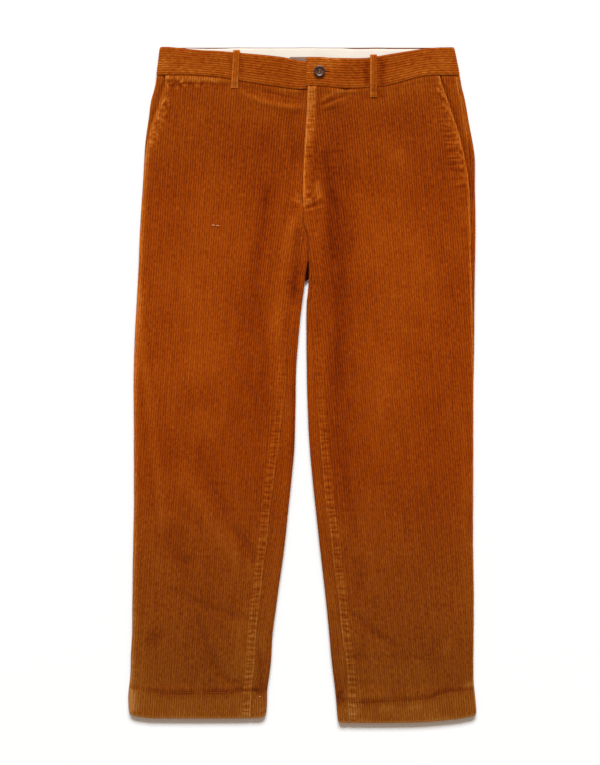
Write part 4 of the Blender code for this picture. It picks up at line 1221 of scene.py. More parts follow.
def waist_inside(pale, satin):
    """The pale facing inside the back waistband, and its blank label."""
    top = BACK_TOP_Y - FACING_BELOW_TOP
    label_foot = LABEL_TOP_Y - LABEL_HEIGHT
    lift = BAND_CLOTH + SEAM_GAP + FACING_CLOTH

    def facing_relief(x, y):
        waves = 0.12 * np.sin(x / 14 + y / 9) * np.sin(x / 37)
        return -0.3 * (1 - ramp((top - y) / 1.5)) + waves

    def facing_rise(x):
        return 1.2 * (1 - ramp((x - 55) / 25)) - 0.9 * bell(x + 138, 30.0)

    def label_relief(_, y):
        edge = np.minimum(LABEL_TOP_Y - y, y - label_foot)
        return -0.25 * (1 - ramp(edge / 1.2))

    facing = strip_piece(
        "waistband_facing_cloth", FACING_X, (top - FACING_HEIGHT, top), lift, FACING_CLOTH,
        (180, 20), facing_relief, pale, facing_rise,
    )
    label = strip_piece(
        "waistband_label_cloth", LABEL_X, (label_foot, LABEL_TOP_Y),
        lift + SEAM_GAP + LABEL_CLOTH, LABEL_CLOTH, (40, 16), label_relief, satin,
    )
    return facing, label


def seam_ribbon(ribbon, sizes, materials):
    """One of the ribbons between the legs. Its lower end droops towards the right leg."""
    steps = round((ribbon.top - ribbon.bottom) / 2)
    rows = np.linspace(ribbon.bottom, ribbon.top, steps + 1)[:, None]
    columns = np.linspace(-1.0, 1.0, 9)[None, :]

    def surface(row, column):
        low, high = inner_x(RIGHT, row), inner_x(LEFT, row)
        x = (low + high) / 2 + column * ((high - low) / 2 + ribbon.reach)
        droop = 2.7 * (1 - column) * (1 - ramp((row - ribbon.bottom) / 12))
        return np.stack(np.broadcast_arrays(x, row - droop, ribbon.height), axis=-1)

    uv = np.stack(np.broadcast_arrays(columns * 1.2, rows * MM / sizes.wale_pitch), axis=-1)
    look = (-0.4 * (1 - ramp((rows - ribbon.bottom) / 3)), ribbon.tone, 0.0)
    return grid_piece(
        ribbon.name, surface, rows, columns, -1, RIBBON_CLOTH, look, uv, materials,
    )


def loop_relief(off, sizes, flat):
    """Three ribs along a belt loop, pressed where flat is 0, and its folded edges."""
    ribs = rib((off / LOOP_WIDTH + 0.5) * LOOP_WALES * sizes.wale_pitch / MM, sizes)
    edge = LOOP_WIDTH / 2 - abs(off)
    return 0.6 * ribs * flat - 0.5 * (1 - ramp(edge / 1.2))


def belt_loop(
    name, x_foot, x_top, foot, top, height, outward, sizes, materials, lean=-0.03, worn=1.0
):
    """A belt loop from its foot to its top, with its wales along it. Its tone changes by
    lean for each millimetre across it, and its foot is rubbed as much as worn says."""
    rows = stepped_rows([RowBand(foot, 1.4), RowBand(top, 0)])
    columns = np.linspace(-0.5, 0.5, LOOP_WALES * POINTS_PER_WALE + 1)[None, :] * LOOP_WIDTH

    def surface(row, column):
        centre = x_foot + (x_top - x_foot) * (row - foot) / (top - foot)
        return np.stack([centre + column, row + 0 * column, height(row) + 0 * column], axis=-1)

    relief = loop_relief(columns, sizes, ramp((rows - foot) / 4))
    rubbed_foot = 0.7 * ramp((foot + 18 - rows) / 8) + 0.8 * bell(rows - foot - 1.5, 2.5)
    tone = 0.5 + worn * rubbed_foot + lean * columns
    tone = tone + 0.7 * bell(abs(columns) - 4.6, 0.9) - 0.2 * bell(abs(columns) - 2.6, 0.9)
    wale = (columns / LOOP_WIDTH + 0.5) * LOOP_WALES
    uv = np.stack(np.broadcast_arrays(wale, rows * MM / sizes.wale_pitch), axis=-1)
    return grid_piece(
        name, surface, rows, columns + 0 * rows, outward, LOOP_CLOTH - 0.4,
        (relief, tone, 0.0), uv, materials,
    )


def front_loop(side, sizes, materials):
    """A belt loop over the front waistband, folded over its top edge."""
    x_top, x_foot = LOOP_PLACES[side]
    seam = float(along(WAIST_SEAM[side], x_top))
    top = float(along(BAND_TOP[side], x_top)) + LOOP_OVER_TOP
    foot = seam - FRONT_LOOP_BELOW[side]

    def height(row):
        on_band = BAND_LEVEL + SEAM_GAP + LOOP_CLOTH
        on_panel = WAIST_LEVEL + SEAM_GAP + LOOP_CLOTH
        arch = LOOP_ARCH * np.clip((row - seam) * (top - row), 0, None) / (top - seam) ** 2
        fold = 2.4 * np.clip((row - top + 3.4) / 3.4, 0, 1) ** 2
        pressed = 0.8 * (1 - ramp((row - foot) / 4))
        level = on_panel + (on_band - on_panel) * ramp((row - seam + 8) / 7)
        return level + 4 * arch - fold - pressed

    name = f"belt_loop_front_{WORD[side]}_cloth"
    lean, worn = (-0.03, 1.0) if side == RIGHT else (-0.13, 0.35)
    return belt_loop(
        name, x_foot, x_top, foot, top, height, -1, sizes, materials, lean, worn,
    )


def back_loop(word, x, sizes, materials):
    """A belt loop on the back waistband, which lies on the surface: its face is below."""
    foot, top = WAIST_Y - LOOP_BELOW_SEAM, BACK_TOP_Y - 1

    def height(row):
        return 0.1 + 0 * row

    name = f"belt_loop_back_{word}_cloth"
    return belt_loop(name, x, x, foot, top, height, 1, sizes, materials)


# ---------------------------------------------------------------- button and sewing


def lathe(name, profile, place, segments):
    """A closed shape turned about +Z from a profile of (radius, height) points."""
    radius, height = np.array(profile, float).T
    angle = np.linspace(0, 2 * np.pi, segments, endpoint=False)[None, :]
    x = place[0] + radius[1:-1, None] * np.cos(angle)
    y = place[1] + radius[1:-1, None] * np.sin(angle)
    z = place[2] + height[1:-1, None] + 0 * angle
    poles = [[*place[:2], place[2] + height[0]], [*place[:2], place[2] + height[-1]]]
    points = np.concatenate([np.stack([x, y, z], axis=-1).reshape(-1, 3), poles])
    index = np.arange(x.size).reshape(x.shape)
    index = np.concatenate([index, index[:, :1]], axis=1)
    cells = quads(index)
    low, high = np.full(segments, x.size), np.full(segments, x.size + 1)
    foot = np.stack([low, index[0, 1:], index[0, :-1]], axis=1)
    top = np.stack([high, index[-1, :-1], index[-1, 1:]], axis=1)
    faces = np.concatenate([cells[:, [0, 2, 1]], cells[:, [0, 3, 2]], foot, top])
    return new_mesh_object(name, points, faces, smooth_angle=40)[0]


def button(material):
    """A four-hole button with a round rim and a dished middle."""
    x, y = BUTTON_PLACE
    rim = BUTTON_RADIUS
    profile = [
        (0, 0), (rim - 1.6, 0), (rim - 0.6, 0.4), (rim - 0.1, 1.0), (rim, 1.6), (rim - 0.2, 2.3),
        (rim - 0.7, 2.8), (rim - 1.4, 3.0), (rim - 2.1, 2.8), (rim - 2.6, 2.3), (rim - 3.1, 1.95),
        (rim - 4.0, 1.75), (rim - 6.0, 1.6), (0, 1.55),
    ]
    disc = lathe("button_disc", profile, (x, y, BUTTON_BASE), 72)
    disc.data.materials.append(material)
    for right, up in ((1, 1), (-1, 1), (-1, -1), (1, -1)):
        hole_place = (x + right * HOLE_REACH, y + up * HOLE_REACH, BUTTON_BASE - 1)
        cutter = lathe("hole_cutter", [(0, 0), (0.85, 0), (0.85, 5), (0, 5)], hole_place, 20)
        modifier = disc.modifiers.new("hole", "BOOLEAN")
        modifier.object, modifier.operation, modifier.solver = cutter, "DIFFERENCE", "EXACT"
        bake_modifiers(disc)
        bpy.data.objects.remove(cutter)
    disc.data.shade_smooth()
    disc.data.set_sharp_from_angle(angle=math.radians(40))
    return disc


def button_thread_runs():
    """Six threads through the button's holes, three in each of two rows."""
    x, y = BUTTON_PLACE
    z = BUTTON_BASE + 1.6
    runs = []
    for up in (-1, 1):
        for off in (-0.4, 0.0, 0.4):
            level = y + up * HOLE_REACH + off
            start = np.array([[x - HOLE_REACH, level, z]])
            end = np.array([[x + HOLE_REACH, level, z]])
            runs.append((start, end, np.array([[0, 0, 1.0]])))
    return runs


def bake_modifiers(obj):
    """Makes the result of an object's modifiers its mesh."""
    graph = bpy.context.evaluated_depsgraph_get()
    made = bpy.data.meshes.new_from_object(obj.evaluated_get(graph))
    obj.modifiers.clear()
    obj.data = made


def stitch_line(points, ups, step, length):
    """Ends and ups of the stitches along a line: (start, end, up) arrays."""
    lengths = np.linalg.norm(np.diff(points, axis=0), axis=1)
    at = np.append(0, np.cumsum(lengths))
    middle = np.arange(step / 2, at[-1], step)

    def read(values, places):
        return np.stack([np.interp(places, at, values[:, k]) for k in range(3)], axis=1)

    return read(points, middle - length / 2), read(points, middle + length / 2), read(ups, middle)


def threads(name, runs, radius, material, lift, sunk=0.25):
    """Short threads, each a closed tube of five sides from its start to its end: its
    middle stands up by lift, and its ends go down into the cloth by sunk."""
    start, end, up = (np.concatenate([run[k] for run in runs]) for k in range(3))
    up = up / np.linalg.norm(up, axis=1, keepdims=True)
    line = end - start
    line = line / np.maximum(np.linalg.norm(line, axis=1, keepdims=True), 1e-9)
    side = np.cross(up, line)
    side = side / np.maximum(np.linalg.norm(side, axis=1, keepdims=True), 1e-9)
    share = np.array([0.0, 0.25, 0.75, 1.0])[None, :, None]
    level = np.array([-sunk, lift, lift, -sunk])[None, :, None]
    width = np.array([0.75, 1.0, 1.0, 0.75])[None, :, None, None] * radius
    turn = (np.arange(5) * 2 * np.pi / 5)[None, :, None]
    ring = start[:, None] + (end - start)[:, None] * share + up[:, None] * level
    around = side[:, None] * np.cos(turn) + up[:, None] * np.sin(turn)
    points = ring[:, :, None] + around[:, None] * width
    one = np.arange(20).reshape(4, 5)
    one = np.concatenate([one, one[:, :1]], axis=1)
    fan = np.array([[0, 1, 2], [0, 2, 3], [0, 3, 4]])
    faces = np.concatenate([triangles(one), fan, fan[:, ::-1] + 15])
    faces = (faces[None] + 20 * np.arange(len(start))[:, None, None]).reshape(-1, 3)
    obj, _ = new_mesh_object(name, points.reshape(-1, 3), faces, smooth_angle=60)
    obj.data.materials.append(material)
    return obj


def on_surface(surface, outward, rows, columns, raised=0.0):
    """Points and normals along a line on a surface."""
    up = normals(surface, rows, columns, outward)
    return surface(rows, columns) + up * raised, up


def hem_stitch_rows(side, s):
    """Rows of the hem's stitching at distances from the outer fold."""
    x = across(side, HEM_Y + HEM_DEPTH + 0 * s, s)
    return HEM_Y + along(HEM_STITCH[side], x)


def sewn(lines, surface, outward, raised):
    """The stitches along lines of (rows, columns, step) on a surface."""
    runs = []
    for rows, columns, step in lines:
        points, ups = on_surface(surface, outward, rows, columns, raised)
        runs.append(stitch_line(points, ups, step, step * STITCH_SHARE))
    return runs


def front_stitch_runs(side):
    """The stitching of one front: pocket, inseam, hem and, on the left, the fly."""
    rows = np.linspace(POCKET_EDGE[side][-1].y + 12, WAIST_Y - 3, 80)
    lines = [(rows, front_edge(side, rows) + POCKET_STITCH, STITCH_STEP)]
    rows = np.linspace(HEM_Y + 3, CROTCH_Y - 16, 240)
    lines.append((rows, front_end(side, rows) - INSEAM_STITCH, STITCH_STEP))
    s = np.linspace(3, float(front_end(side, np.array(HEM_Y + HEM_DEPTH))) - 2, 120)
    lines.append((hem_stitch_rows(side, s), s, STITCH_STEP))
    if side == LEFT:
        rows = np.linspace(WAIST_Y - 3, 270, 120)
        place = tube_length(side, rows) - along(FLY_STITCH, rows)
        lines.append((rows, place, FINE_STITCH_STEP))
    return sewn(lines, front_surface(side), side, -0.15)


def back_stitch_runs(side):
    """The stitching of one back: its hem, and the seat seam's line on the left."""
    length = float(tube_length(side, np.array(HEM_Y + HEM_DEPTH)))
    path = np.linspace(2, length + 12, 130)
    lines = [(hem_stitch_rows(side, np.minimum(path, length)), path, STITCH_STEP)]
    if side == LEFT:
        rows = np.linspace(CROTCH_Y + 8, WAIST_Y - 3, 100)
        lines.append((rows, tube_length(side, rows) - SEAT_STITCH, FINE_STITCH_STEP))
    return sewn(lines, partial(back_points, side), -side, -0.3)


def lint_run(bit):
    """One bit of lint, on the right leg."""
    row = np.array([bit.y])
    place = bit.x - outer_x(RIGHT, row) + BEND
    point, up = on_surface(partial(top_points, RIGHT), RIGHT, row, place, 0.1)
    way = np.array([[math.cos(bit.turn), math.sin(bit.turn), 0.0]]) * bit.half_length
    return point - way, point + way, up


# ---------------------------------------------------------------- materials

# How many units of each noise fit in a metre, from the size of what it draws.
PILE_CLOUDS = 12.0  # uneven dye and wear, 83 mm
PILE_GRAIN = 900.0  # tufts, 1.1 mm, because single fibres are too fine to show
WEAVE_CLOUDS = 40.0  # 25 mm
HORN_CLOUDS = 260.0  # 3.8 mm
THREAD_PLIES = 1500.0  # 0.67 mm, coarser than real plies so that they show
PAPER_GRAIN = 900.0  # 1.1 mm, coarser than real fibres so that it shows
WAVE_RADIANS = 20.0  # what a wave node runs through in each unit

# Where each change of the pile's colour down the garment starts and ends, in metres, and
# what it multiplies red, green and blue by: the pile is a little yellower at the waist,
# redder at the thigh, and darker and less red to the foot. The darkening to the foot is
# painted shade, for light that falls off down the garment.
Fade = namedtuple("Fade", "start end tint")
DOWN_TINTS = [
    Fade(0.30, 0.44, (1.0, 1.09, 1.25)),
    Fade(0.34, 0.26, (1.0, 0.962, 0.92)),
    Fade(0.035, -0.45, (0.65, 0.65, 0.65)),
    Fade(-0.12, -0.43, (1.0, 1.5, 2.8)),
]
# The ribs' contrast. Runs are the y, in metres, where a change starts and ends.
WAVE_MEAN = 0.64  # mean of |sin|, taken off so that the ribs leave the mean tone alone
RIB_FALL = 0.3  # share that they lose to the foot
RIB_FALL_RUN = (0.12, -0.46)
RIB_RUBBED = 0.5  # share that they lose where the pile is rubbed, down to RIB_LEAST
RIB_LEAST = 0.3
HEM_RIBS = 0.1  # what they gain on the doubled hem
HEM_RIBS_RUN = (-0.459, -0.469)
# How far tone, puckers and lumps change the pile's shade.
TONE_WEIGHT = 0.22
PUCKER_WEIGHT = 0.2
BARS_PER_WALE = 0.4
BAR_DRIFT = 22.0  # radians
LUMP_GAIN = 5.0
SHADE_PLACES = (0.0, 0.3, 0.5, 0.72, 1.0)
PILES = {
    "cotton_pile": {"warmth": -0.03},
    "waistband_pile": {"warmth": 0.03, "contrast": 0.35, "patches": 0.45},
    "belt_loop_pile": {"warmth": 0.0, "contrast": 0.2},
}


def add(tree, kind, inputs=(), output=0, stops=(), **settings):
    """Adds a shader node with its settings and returns one of its outputs. Its inputs are
    a list in their order, or a dictionary by name or number, of values and of the outputs
    that are linked to them. Stops are the places and hex or linear colours of a ramp."""
    node = tree.nodes.new("ShaderNode" + kind)
    for name, value in settings.items():
        setattr(node, name, value)
    for key, value in inputs.items() if isinstance(inputs, dict) else enumerate(inputs):
        if isinstance(value, bpy.types.NodeSocket):
            tree.links.new(value, node.inputs[key])
        else:
            node.inputs[key].default_value = value
    for _ in stops[2:]:
        node.color_ramp.elements.new(0.5)
    for k, (place, code) in enumerate(stops):
        element = node.color_ramp.elements[k]
        element.position = place
        element.color = (*(linear(code) if isinstance(code, str) else code), 1.0)
    return node.outputs[output]


def blank(name, roughness, **sockets):
    """A new material with a Principled shader whose constants are set on its sockets."""
    material = bpy.data.materials.new(name)
    material.use_nodes = True
    shader = material.node_tree.nodes["Principled BSDF"]
    shader.inputs["Roughness"].default_value = roughness
    for key, value in sockets.items():
        shader.inputs[key.replace("_", " ")].default_value = value
    return material, material.node_tree, shader


def surfaced(tree, shader, colour, height=None, strength=0.0, depth=0.0):
    """Gives a shader its colour and, where there is a height, a bump from it whose depth
    is in metres."""
    tree.links.new(colour, shader.inputs["Base Color"])
    if height is not None:
        bump = add(tree, "Bump", {"Strength": strength, "Distance": depth, "Height": height})
        tree.links.new(bump, shader.inputs["Normal"])


def varied(tree, value, change, weight):
    """The value, plus the weight times how far the change lies from 0.5."""
    off = add(tree, "Math", [change, 0.5], operation="SUBTRACT")
    return add(tree, "Math", [off, weight, value], operation="MULTIPLY_ADD")


def uneven(tree, uv, over_wales, along_wales, detail=2.0):
    """A noise in the pile, with so many units for each wale's width over and along it."""
    at = add(tree, "Mapping", {"Vector": uv, "Scale": (over_wales, along_wales, 1)})
    return add(tree, "TexNoise", {"Vector": at, "Scale": 1.0, "Detail": detail})


def corduroy(name, colours, warmth, contrast=0.27, patches=0.19):
    """Cut cotton corduroy: a soft matt pile in ribs over a darker ground. Its colour runs
    through a ramp by a tone: the furrows are painted darker, partly for the darker ground and
    partly as painted shade, and the tone also carries wear and painted light and shade on
    ridges, troughs and edges."""
    matt = {"Specular_IOR_Level": 0.0, "Sheen_Weight": 0.22, "Sheen_Roughness": 0.5}
    material, tree, shader = blank(name, 1.0, **matt)
    shader.inputs["Sheen Tint"].default_value = (*colours.sheen, 1.0)
    node = partial(add, tree)
    uv = node("UVMap", uv_map="cloth")
    over_wales, along_wales, _ = node("SeparateXYZ", [uv]).node.outputs
    place = node("TexCoord", output="Object")
    down = node("SeparateXYZ", [place], output="Y")
    tone = node("Attribute", attribute_name="tone", output="Fac")
    rubbed = node("Attribute", attribute_name="rubbed", output="Fac")
    value = node("Math", [tone, TONE_WEIGHT, 0.5 + warmth], operation="MULTIPLY_ADD")

    # Ribs, flatter to the foot and where they are rubbed, but not on the doubled hem. Their dark
    # furrows are partly the darker ground and partly painted shade.
    half_turns = node("Math", [over_wales, math.pi], operation="MULTIPLY")
    wave = node("Math", [half_turns], operation="SINE")
    wave = node("Math", [wave], operation="ABSOLUTE")
    wave = node("Math", [wave, WAVE_MEAN], operation="SUBTRACT")
    foot = node("MapRange", [down, *RIB_FALL_RUN])
    depth = node("Math", [foot, -RIB_FALL * contrast, contrast], operation="MULTIPLY_ADD")
    standing = node("Math", [rubbed, -RIB_RUBBED, 1.0], operation="MULTIPLY_ADD")
    standing = node("Math", [standing, RIB_LEAST], operation="MAXIMUM")
    hem = node("MapRange", [down, *HEM_RIBS_RUN, 0.0, HEM_RIBS])
    depth = node("Math", [depth, standing, hem], operation="MULTIPLY_ADD")
    value = node("Math", [wave, depth, value], operation="MULTIPLY_ADD")

    # Uneven pile: long streaks, patches and short flecks along the ribs, clouds and grain.
    value = varied(tree, value, uneven(tree, uv, 1.0, 0.06), 0.3)
    value = varied(tree, value, uneven(tree, uv, 0.6, 0.5), patches)
    value = varied(tree, value, uneven(tree, uv, 1.9, 0.55), 0.6)
    clouds = node("TexNoise", {"Vector": place, "Scale": PILE_CLOUDS, "Detail": 3.0})
    value = varied(tree, value, clouds, 0.26)
    grain = node("TexNoise", {"Vector": place, "Scale": PILE_GRAIN, "Detail": 3.0})
    value = varied(tree, value, grain, 0.35)

    # Puckers: bars across a seam that drift out of step, and lumps. Their light and dark in the
    # colour are painted light and shade of the puckers and lumps, beside the bump that they give.
    drift = node("Math", [uneven(tree, uv, 0.05, 0.2), BAR_DRIFT], operation="MULTIPLY")
    turn = 2 * math.pi * BARS_PER_WALE
    turns = node("Math", [along_wales, turn, drift], operation="MULTIPLY_ADD")
    bars = node("Math", [turns], operation="SINE")
    lump = uneven(tree, uv, 0.55, 0.5, 1.0)
    lump = node("Math", [lump, LUMP_GAIN, -LUMP_GAIN / 2], operation="MULTIPLY_ADD")
    bars = node("Math", [lump, 0.35, bars], operation="MULTIPLY_ADD")
    pucker = node("Attribute", attribute_name="pucker", output="Fac")
    pucker = node("Math", [pucker, bars], operation="MULTIPLY")
    pucker = node("Math", [rubbed, lump, pucker], operation="MULTIPLY_ADD")
    value = node("Math", [pucker, PUCKER_WEIGHT, value], operation="MULTIPLY_ADD")

    shades = (colours.deep, colours.shade, colours.base, colours.worn, colours.light)
    colour = node("ValToRGB", [value], stops=list(zip(SHADE_PLACES, shades)))
    # Tints down the garment; the darkening to the foot is painted shade.
    for fade in DOWN_TINTS:
        inputs = {0: node("MapRange", [down, fade.start, fade.end]), 6: colour, 7: (*fade.tint, 1.0)}
        colour = node("Mix", inputs, output=2, data_type="RGBA", blend_type="MULTIPLY")
    height = node("Math", [pucker, 0.8, grain], operation="MULTIPLY_ADD")
    surfaced(tree, shader, colour, height, 0.5, 0.0004)
    return material


def woven(name, code, dark, thread_mm, roughness=0.85, sheen=0.1):
    """Plain woven cloth: slanting threads, a little darker between them, and clouds."""
    matt = {"Specular_IOR_Level": 2 * sheen, "Sheen_Weight": sheen}
    material, tree, shader = blank(name, roughness, **matt)
    node = partial(add, tree)
    place = node("TexCoord", output="Object")
    slanted = node("Mapping", {"Vector": place, "Rotation": (0, 0, math.radians(45))})
    turn = 2 * math.pi / (thread_mm * MM)  # radians for each metre, one turn for a thread
    inputs = {"Vector": slanted, "Scale": turn / WAVE_RADIANS}
    weave = node("TexWave", inputs, output="Fac", bands_direction="X")
    clouds = node("TexNoise", {"Vector": place, "Scale": WEAVE_CLOUDS, "Detail": 4.0})
    clouds = node("Math", [clouds, 0.75], operation="MULTIPLY")
    value = node("Math", [weave, 0.25, clouds], operation="MULTIPLY_ADD")
    colour = node("ValToRGB", [value], stops=[(0.2, dark), (0.6, code)])
    surfaced(tree, shader, colour, weave, 0.4, 0.0002)
    return material


def horn_plastic(name):
    """Moulded polyester made to look like dark horn: clouded brown under a soft gloss."""
    material, tree, shader = blank(name, 0.32, IOR=1.52)
    place = add(tree, "TexCoord", output="Object")
    inputs = {"Vector": place, "Scale": HORN_CLOUDS, "Detail": 4.0, "Distortion": 1.2}
    cloud = add(tree, "TexNoise", inputs)
    browns = [(0.3, "#291712"), (0.55, "#4b2c21"), (0.8, "#6d4e3d")]
    surfaced(tree, shader, add(tree, "ValToRGB", [cloud], stops=browns), cloud, 0.15, 0.0002)
    return material


def mottled(name, stops, scale, specular):
    """A matt material whose colour runs through the stops with a fine noise."""
    material, tree, shader = blank(name, 0.9, Specular_IOR_Level=specular)
    place = add(tree, "TexCoord", output="Object")
    grain = add(tree, "TexNoise", {"Vector": place, "Scale": scale, "Detail": 2.0})
    surfaced(tree, shader, add(tree, "ValToRGB", [grain], stops=stops))
    return material


def sewing_thread(name, code, dark="#863d0b"):
    """Spun polyester thread: fine twisted plies, almost without gloss."""
    return mottled(name, [(0.3, dark), (0.7, code)], THREAD_PLIES, 0.05)


def floor_paper(name):
    """Matt white paper, as a studio sweep is made of."""
    return mottled(name, [(0.2, "#f6f6f5"), (0.8, "#fbfbfb")], PAPER_GRAIN, 0.0)


def shared(make, name, *values, **more):
    """The material of that name, made the first time that it is asked for."""
    return bpy.data.materials.get(name) or make(name, *values, **more)


def pile_materials(context, name):
    """One of the piles, and the plain back of the cloth, for the two sides of a shell."""
    pile = shared(corduroy, name, context.scene.trouser_colours, **PILES[name])
    return [pile, shared(woven, "corduroy_reverse", "#773b11", "#592909", 0.8)]


# ---------------------------------------------------------------- stage

FRAME_SCALE = 1.508  # millimetres across each pixel of a 600 by 765 frame
FRAME_HEIGHT = 765
FRAME_CENTRE = (-3.0, 3.8)
LENS = 85.0
SENSOR = 36.0
FOCUS_Z = 5.5
FLOOR_HALF = 6000.0
FLOOR_Z = -0.05
KEY_PLACE = (0.0, 56.0, 32.8)  # metres
KEY_SIZE = (40.0, 20.8)  # metres
KEY_POWER = 71200
KEY_COLOUR = (0.91, 0.99, 1.05)
SKY_COLOUR = (1.0, 0.80, 0.65, 1)
SKY_STRENGTH = 0.36


def floor():
    """A wide flat sheet under the garment, just below the cloth."""
    turns = ((-1, -1), (1, -1), (1, 1), (-1, 1))
    corners = np.array([[x * FLOOR_HALF, y * FLOOR_HALF, FLOOR_Z] for x, y in turns])
    obj, _ = new_mesh_object("floor", corners, np.array([[0, 1, 2], [0, 2, 3]]))
    obj.data.materials.append(floor_paper("floor_paper"))


def lights(scene):
    """A low soft key from beyond the waist that points at the garment's middle, and an
    even warm sky. Together they are white."""
    data = bpy.data.lights.new("key", "AREA")
    data.shape, data.size, data.size_y = "RECTANGLE", *KEY_SIZE
    data.energy, data.color = KEY_POWER, KEY_COLOUR
    obj = bpy.data.objects.new("key", data)
    obj.location = KEY_PLACE
    x, y, z = KEY_PLACE
    obj.rotation_euler = (math.atan2(math.hypot(x, y), z), 0, math.atan2(x, -y))
    scene.collection.objects.link(obj)
    world = bpy.data.worlds.new("studio")
    world.use_nodes = True
    sky = world.node_tree.nodes["Background"]
    sky.inputs["Color"].default_value = SKY_COLOUR
    sky.inputs["Strength"].default_value = SKY_STRENGTH
    scene.world = world
    scene.view_settings.view_transform = "Standard"


def camera(scene):
    """A long lens straight above, at the height at which its frame has the real scale."""
    data = bpy.data.cameras.new("camera")
    data.lens, data.sensor_width = LENS, SENSOR
    height = FRAME_SCALE * FRAME_HEIGHT * LENS / SENSOR + FOCUS_Z
    obj = bpy.data.objects.new("camera", data)
    obj.location = (FRAME_CENTRE[0] * MM, FRAME_CENTRE[1] * MM, height * MM)
    scene.collection.objects.link(obj)
    scene.camera = obj


# ---------------------------------------------------------------- settings


class TrouserSizes(bpy.types.PropertyGroup):
    """Sizes of the cloth that a user may change."""

    wale_pitch: bpy.props.FloatProperty(
        name="Wale pitch", description="Distance from rib to rib", default=0.00362,
        min=0.001, max=0.01, precision=5, unit="LENGTH",
    )
    wale_height: bpy.props.FloatProperty(
        name="Wale height", description="Height of the pile over the furrows",
        default=0.0004, min=0.0, max=0.002, precision=5, unit="LENGTH",
    )


def colour_setting(name, description, code):
    """A colour that a user may change, given as sRGB."""
    return bpy.props.FloatVectorProperty(
        name=name, description=description, default=linear(code), size=3, min=0.0, max=1.0,
        subtype="COLOR",
    )


# Stops of the ramp that the painted tone runs through. Besides the pile's own shades and wear, the
# darker stops take painted shade in furrows, troughs and under edges, and the lighter ones painted
# highlights on ridges and edges.
class TrouserColours(bpy.types.PropertyGroup):
    """Colours of the cloth that a user may change."""

    deep: colour_setting("Deep furrow", "Colour in the deepest furrows", "#4d1401")
    shade: colour_setting("Shaded pile", "Colour of pile that lies away", "#772905")
    base: colour_setting("Pile", "Colour of most of the pile", "#923b06")
    worn: colour_setting("Worn pile", "Colour of pile that is rubbed", "#a44e0e")
    light: colour_setting("Lightest pile", "Colour at the most rubbed edges", "#c86f29")
    sheen: colour_setting("Pile sheen", "Colour of the light along the pile's tips", "#f9ab63")


# ---------------------------------------------------------------- operators


def seated(obj, slot, *nodes):
    """Lets a piece ride on the garment and stand for its CAD nodes, which it hides. Its slot is not
    used.
    """
    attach(obj, "root")
    if nodes:
        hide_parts(*nodes)
    return obj


def laid(rows, widths):
    """Takes the rows down a piece of cloth that is laid flat and its widths at them, in
    millimetres, and does nothing more with them."""
    rows = np.ravel(rows)
    widths = np.broadcast_to(np.ravel(widths), rows.shape)


class TROUSERS_OT_backs(bpy.types.Operator):
    """Make the two back panels, which wrap round the side folds"""

    bl_idname = "trousers.backs"
    bl_label = "Backs"

    def execute(self, context):
        sizes = context.scene.trouser_sizes
        # A near-black cloth for the seat seam's end: a painted shadow for the deep shade between the
        # legs.
        gap_shadow_cloth = shared(woven, "overlocked_edge", "#290904", "#190502", 0.9, 0.95, 0.0)
        pile = pile_materials(context, "cotton_pile")
        for ribbon, cloth in ((SEAM_END, [gap_shadow_cloth, gap_shadow_cloth]), (SEAM_ABOVE, pile), (ALLOWANCE, pile)):
            seated(seam_ribbon(ribbon, sizes, cloth), "corduroy")
        rows = stepped_rows(ROWS["back"])
        for side in (RIGHT, LEFT):
            piece = back_panel(side, sizes, pile)
            seated(piece, "corduroy", f"back_{WORD[side]}")
            widths = tube_length(side, rows) + inseam(side, rows)
            widths = widths + along(OUTSEAM[side], rows) - SEAM_GAP
            laid(rows, widths)
        return {"FINISHED"}


class TROUSERS_OT_fronts(bpy.types.Operator):
    """Make the two front panels, the left one with the fly's lap"""

    bl_idname = "trousers.fronts"
    bl_label = "Fronts"

    def execute(self, context):
        sizes = context.scene.trouser_sizes
        for side in (RIGHT, LEFT):
            piece = front_panel(side, sizes, pile_materials(context, "cotton_pile"))
            seated(piece, "corduroy", f"front_{WORD[side]}")
            rows = stepped_rows(ROWS["front"])
            widths = front_end(side, rows) - front_edge(side, rows)
            laid(rows, widths)
        return {"FINISHED"}


class TROUSERS_OT_pocket_facings(bpy.types.Operator):
    """Make the cloth behind the slanted pockets"""

    bl_idname = "trousers.pocket_facings"
    bl_label = "Pocket facings"

    def execute(self, context):
        sizes = context.scene.trouser_sizes
        for side in (RIGHT, LEFT):
            piece = pocket_facing(side, sizes, pile_materials(context, "cotton_pile"))
            seated(piece, "corduroy", f"pocket_facing_{WORD[side]}")
            end = POCKET_EDGE[side][-1].y
            rows = np.linspace(end - POCKET_TAIL, WAIST_Y, 40)
            edge = along(POCKET_EDGE[side], np.maximum(rows, end))
            widths = edge + POCKET_TUCK - along(OUTSEAM[side], rows)
            laid(rows, widths)
        return {"FINISHED"}


class TROUSERS_OT_waistbands(bpy.types.Operator):
    """Make the two halves of the waistband"""

    bl_idname = "trousers.waistbands"
    bl_label = "Waistbands"

    def execute(self, context):
        sizes = context.scene.trouser_sizes
        for side in (RIGHT, LEFT):
            piece = waistband(side, sizes, pile_materials(context, "waistband_pile"))
            seated(piece, "waistband_corduroy", f"waistband_{WORD[side]}")
            end_x = BAND_LAP_X if side == LEFT else BAND_UNDERLAP_X
            both_folds = outer_x(side, WAIST_Y) + outer_x(side, BACK_TOP_Y)
            length = side * (both_folds - end_x - along(CENTRE, BACK_TOP_Y))
            length = length + (math.pi - 2) * BAND_RADIUS
            laid([0, BACK_TOP_Y - WAIST_Y], length)
        return {"FINISHED"}


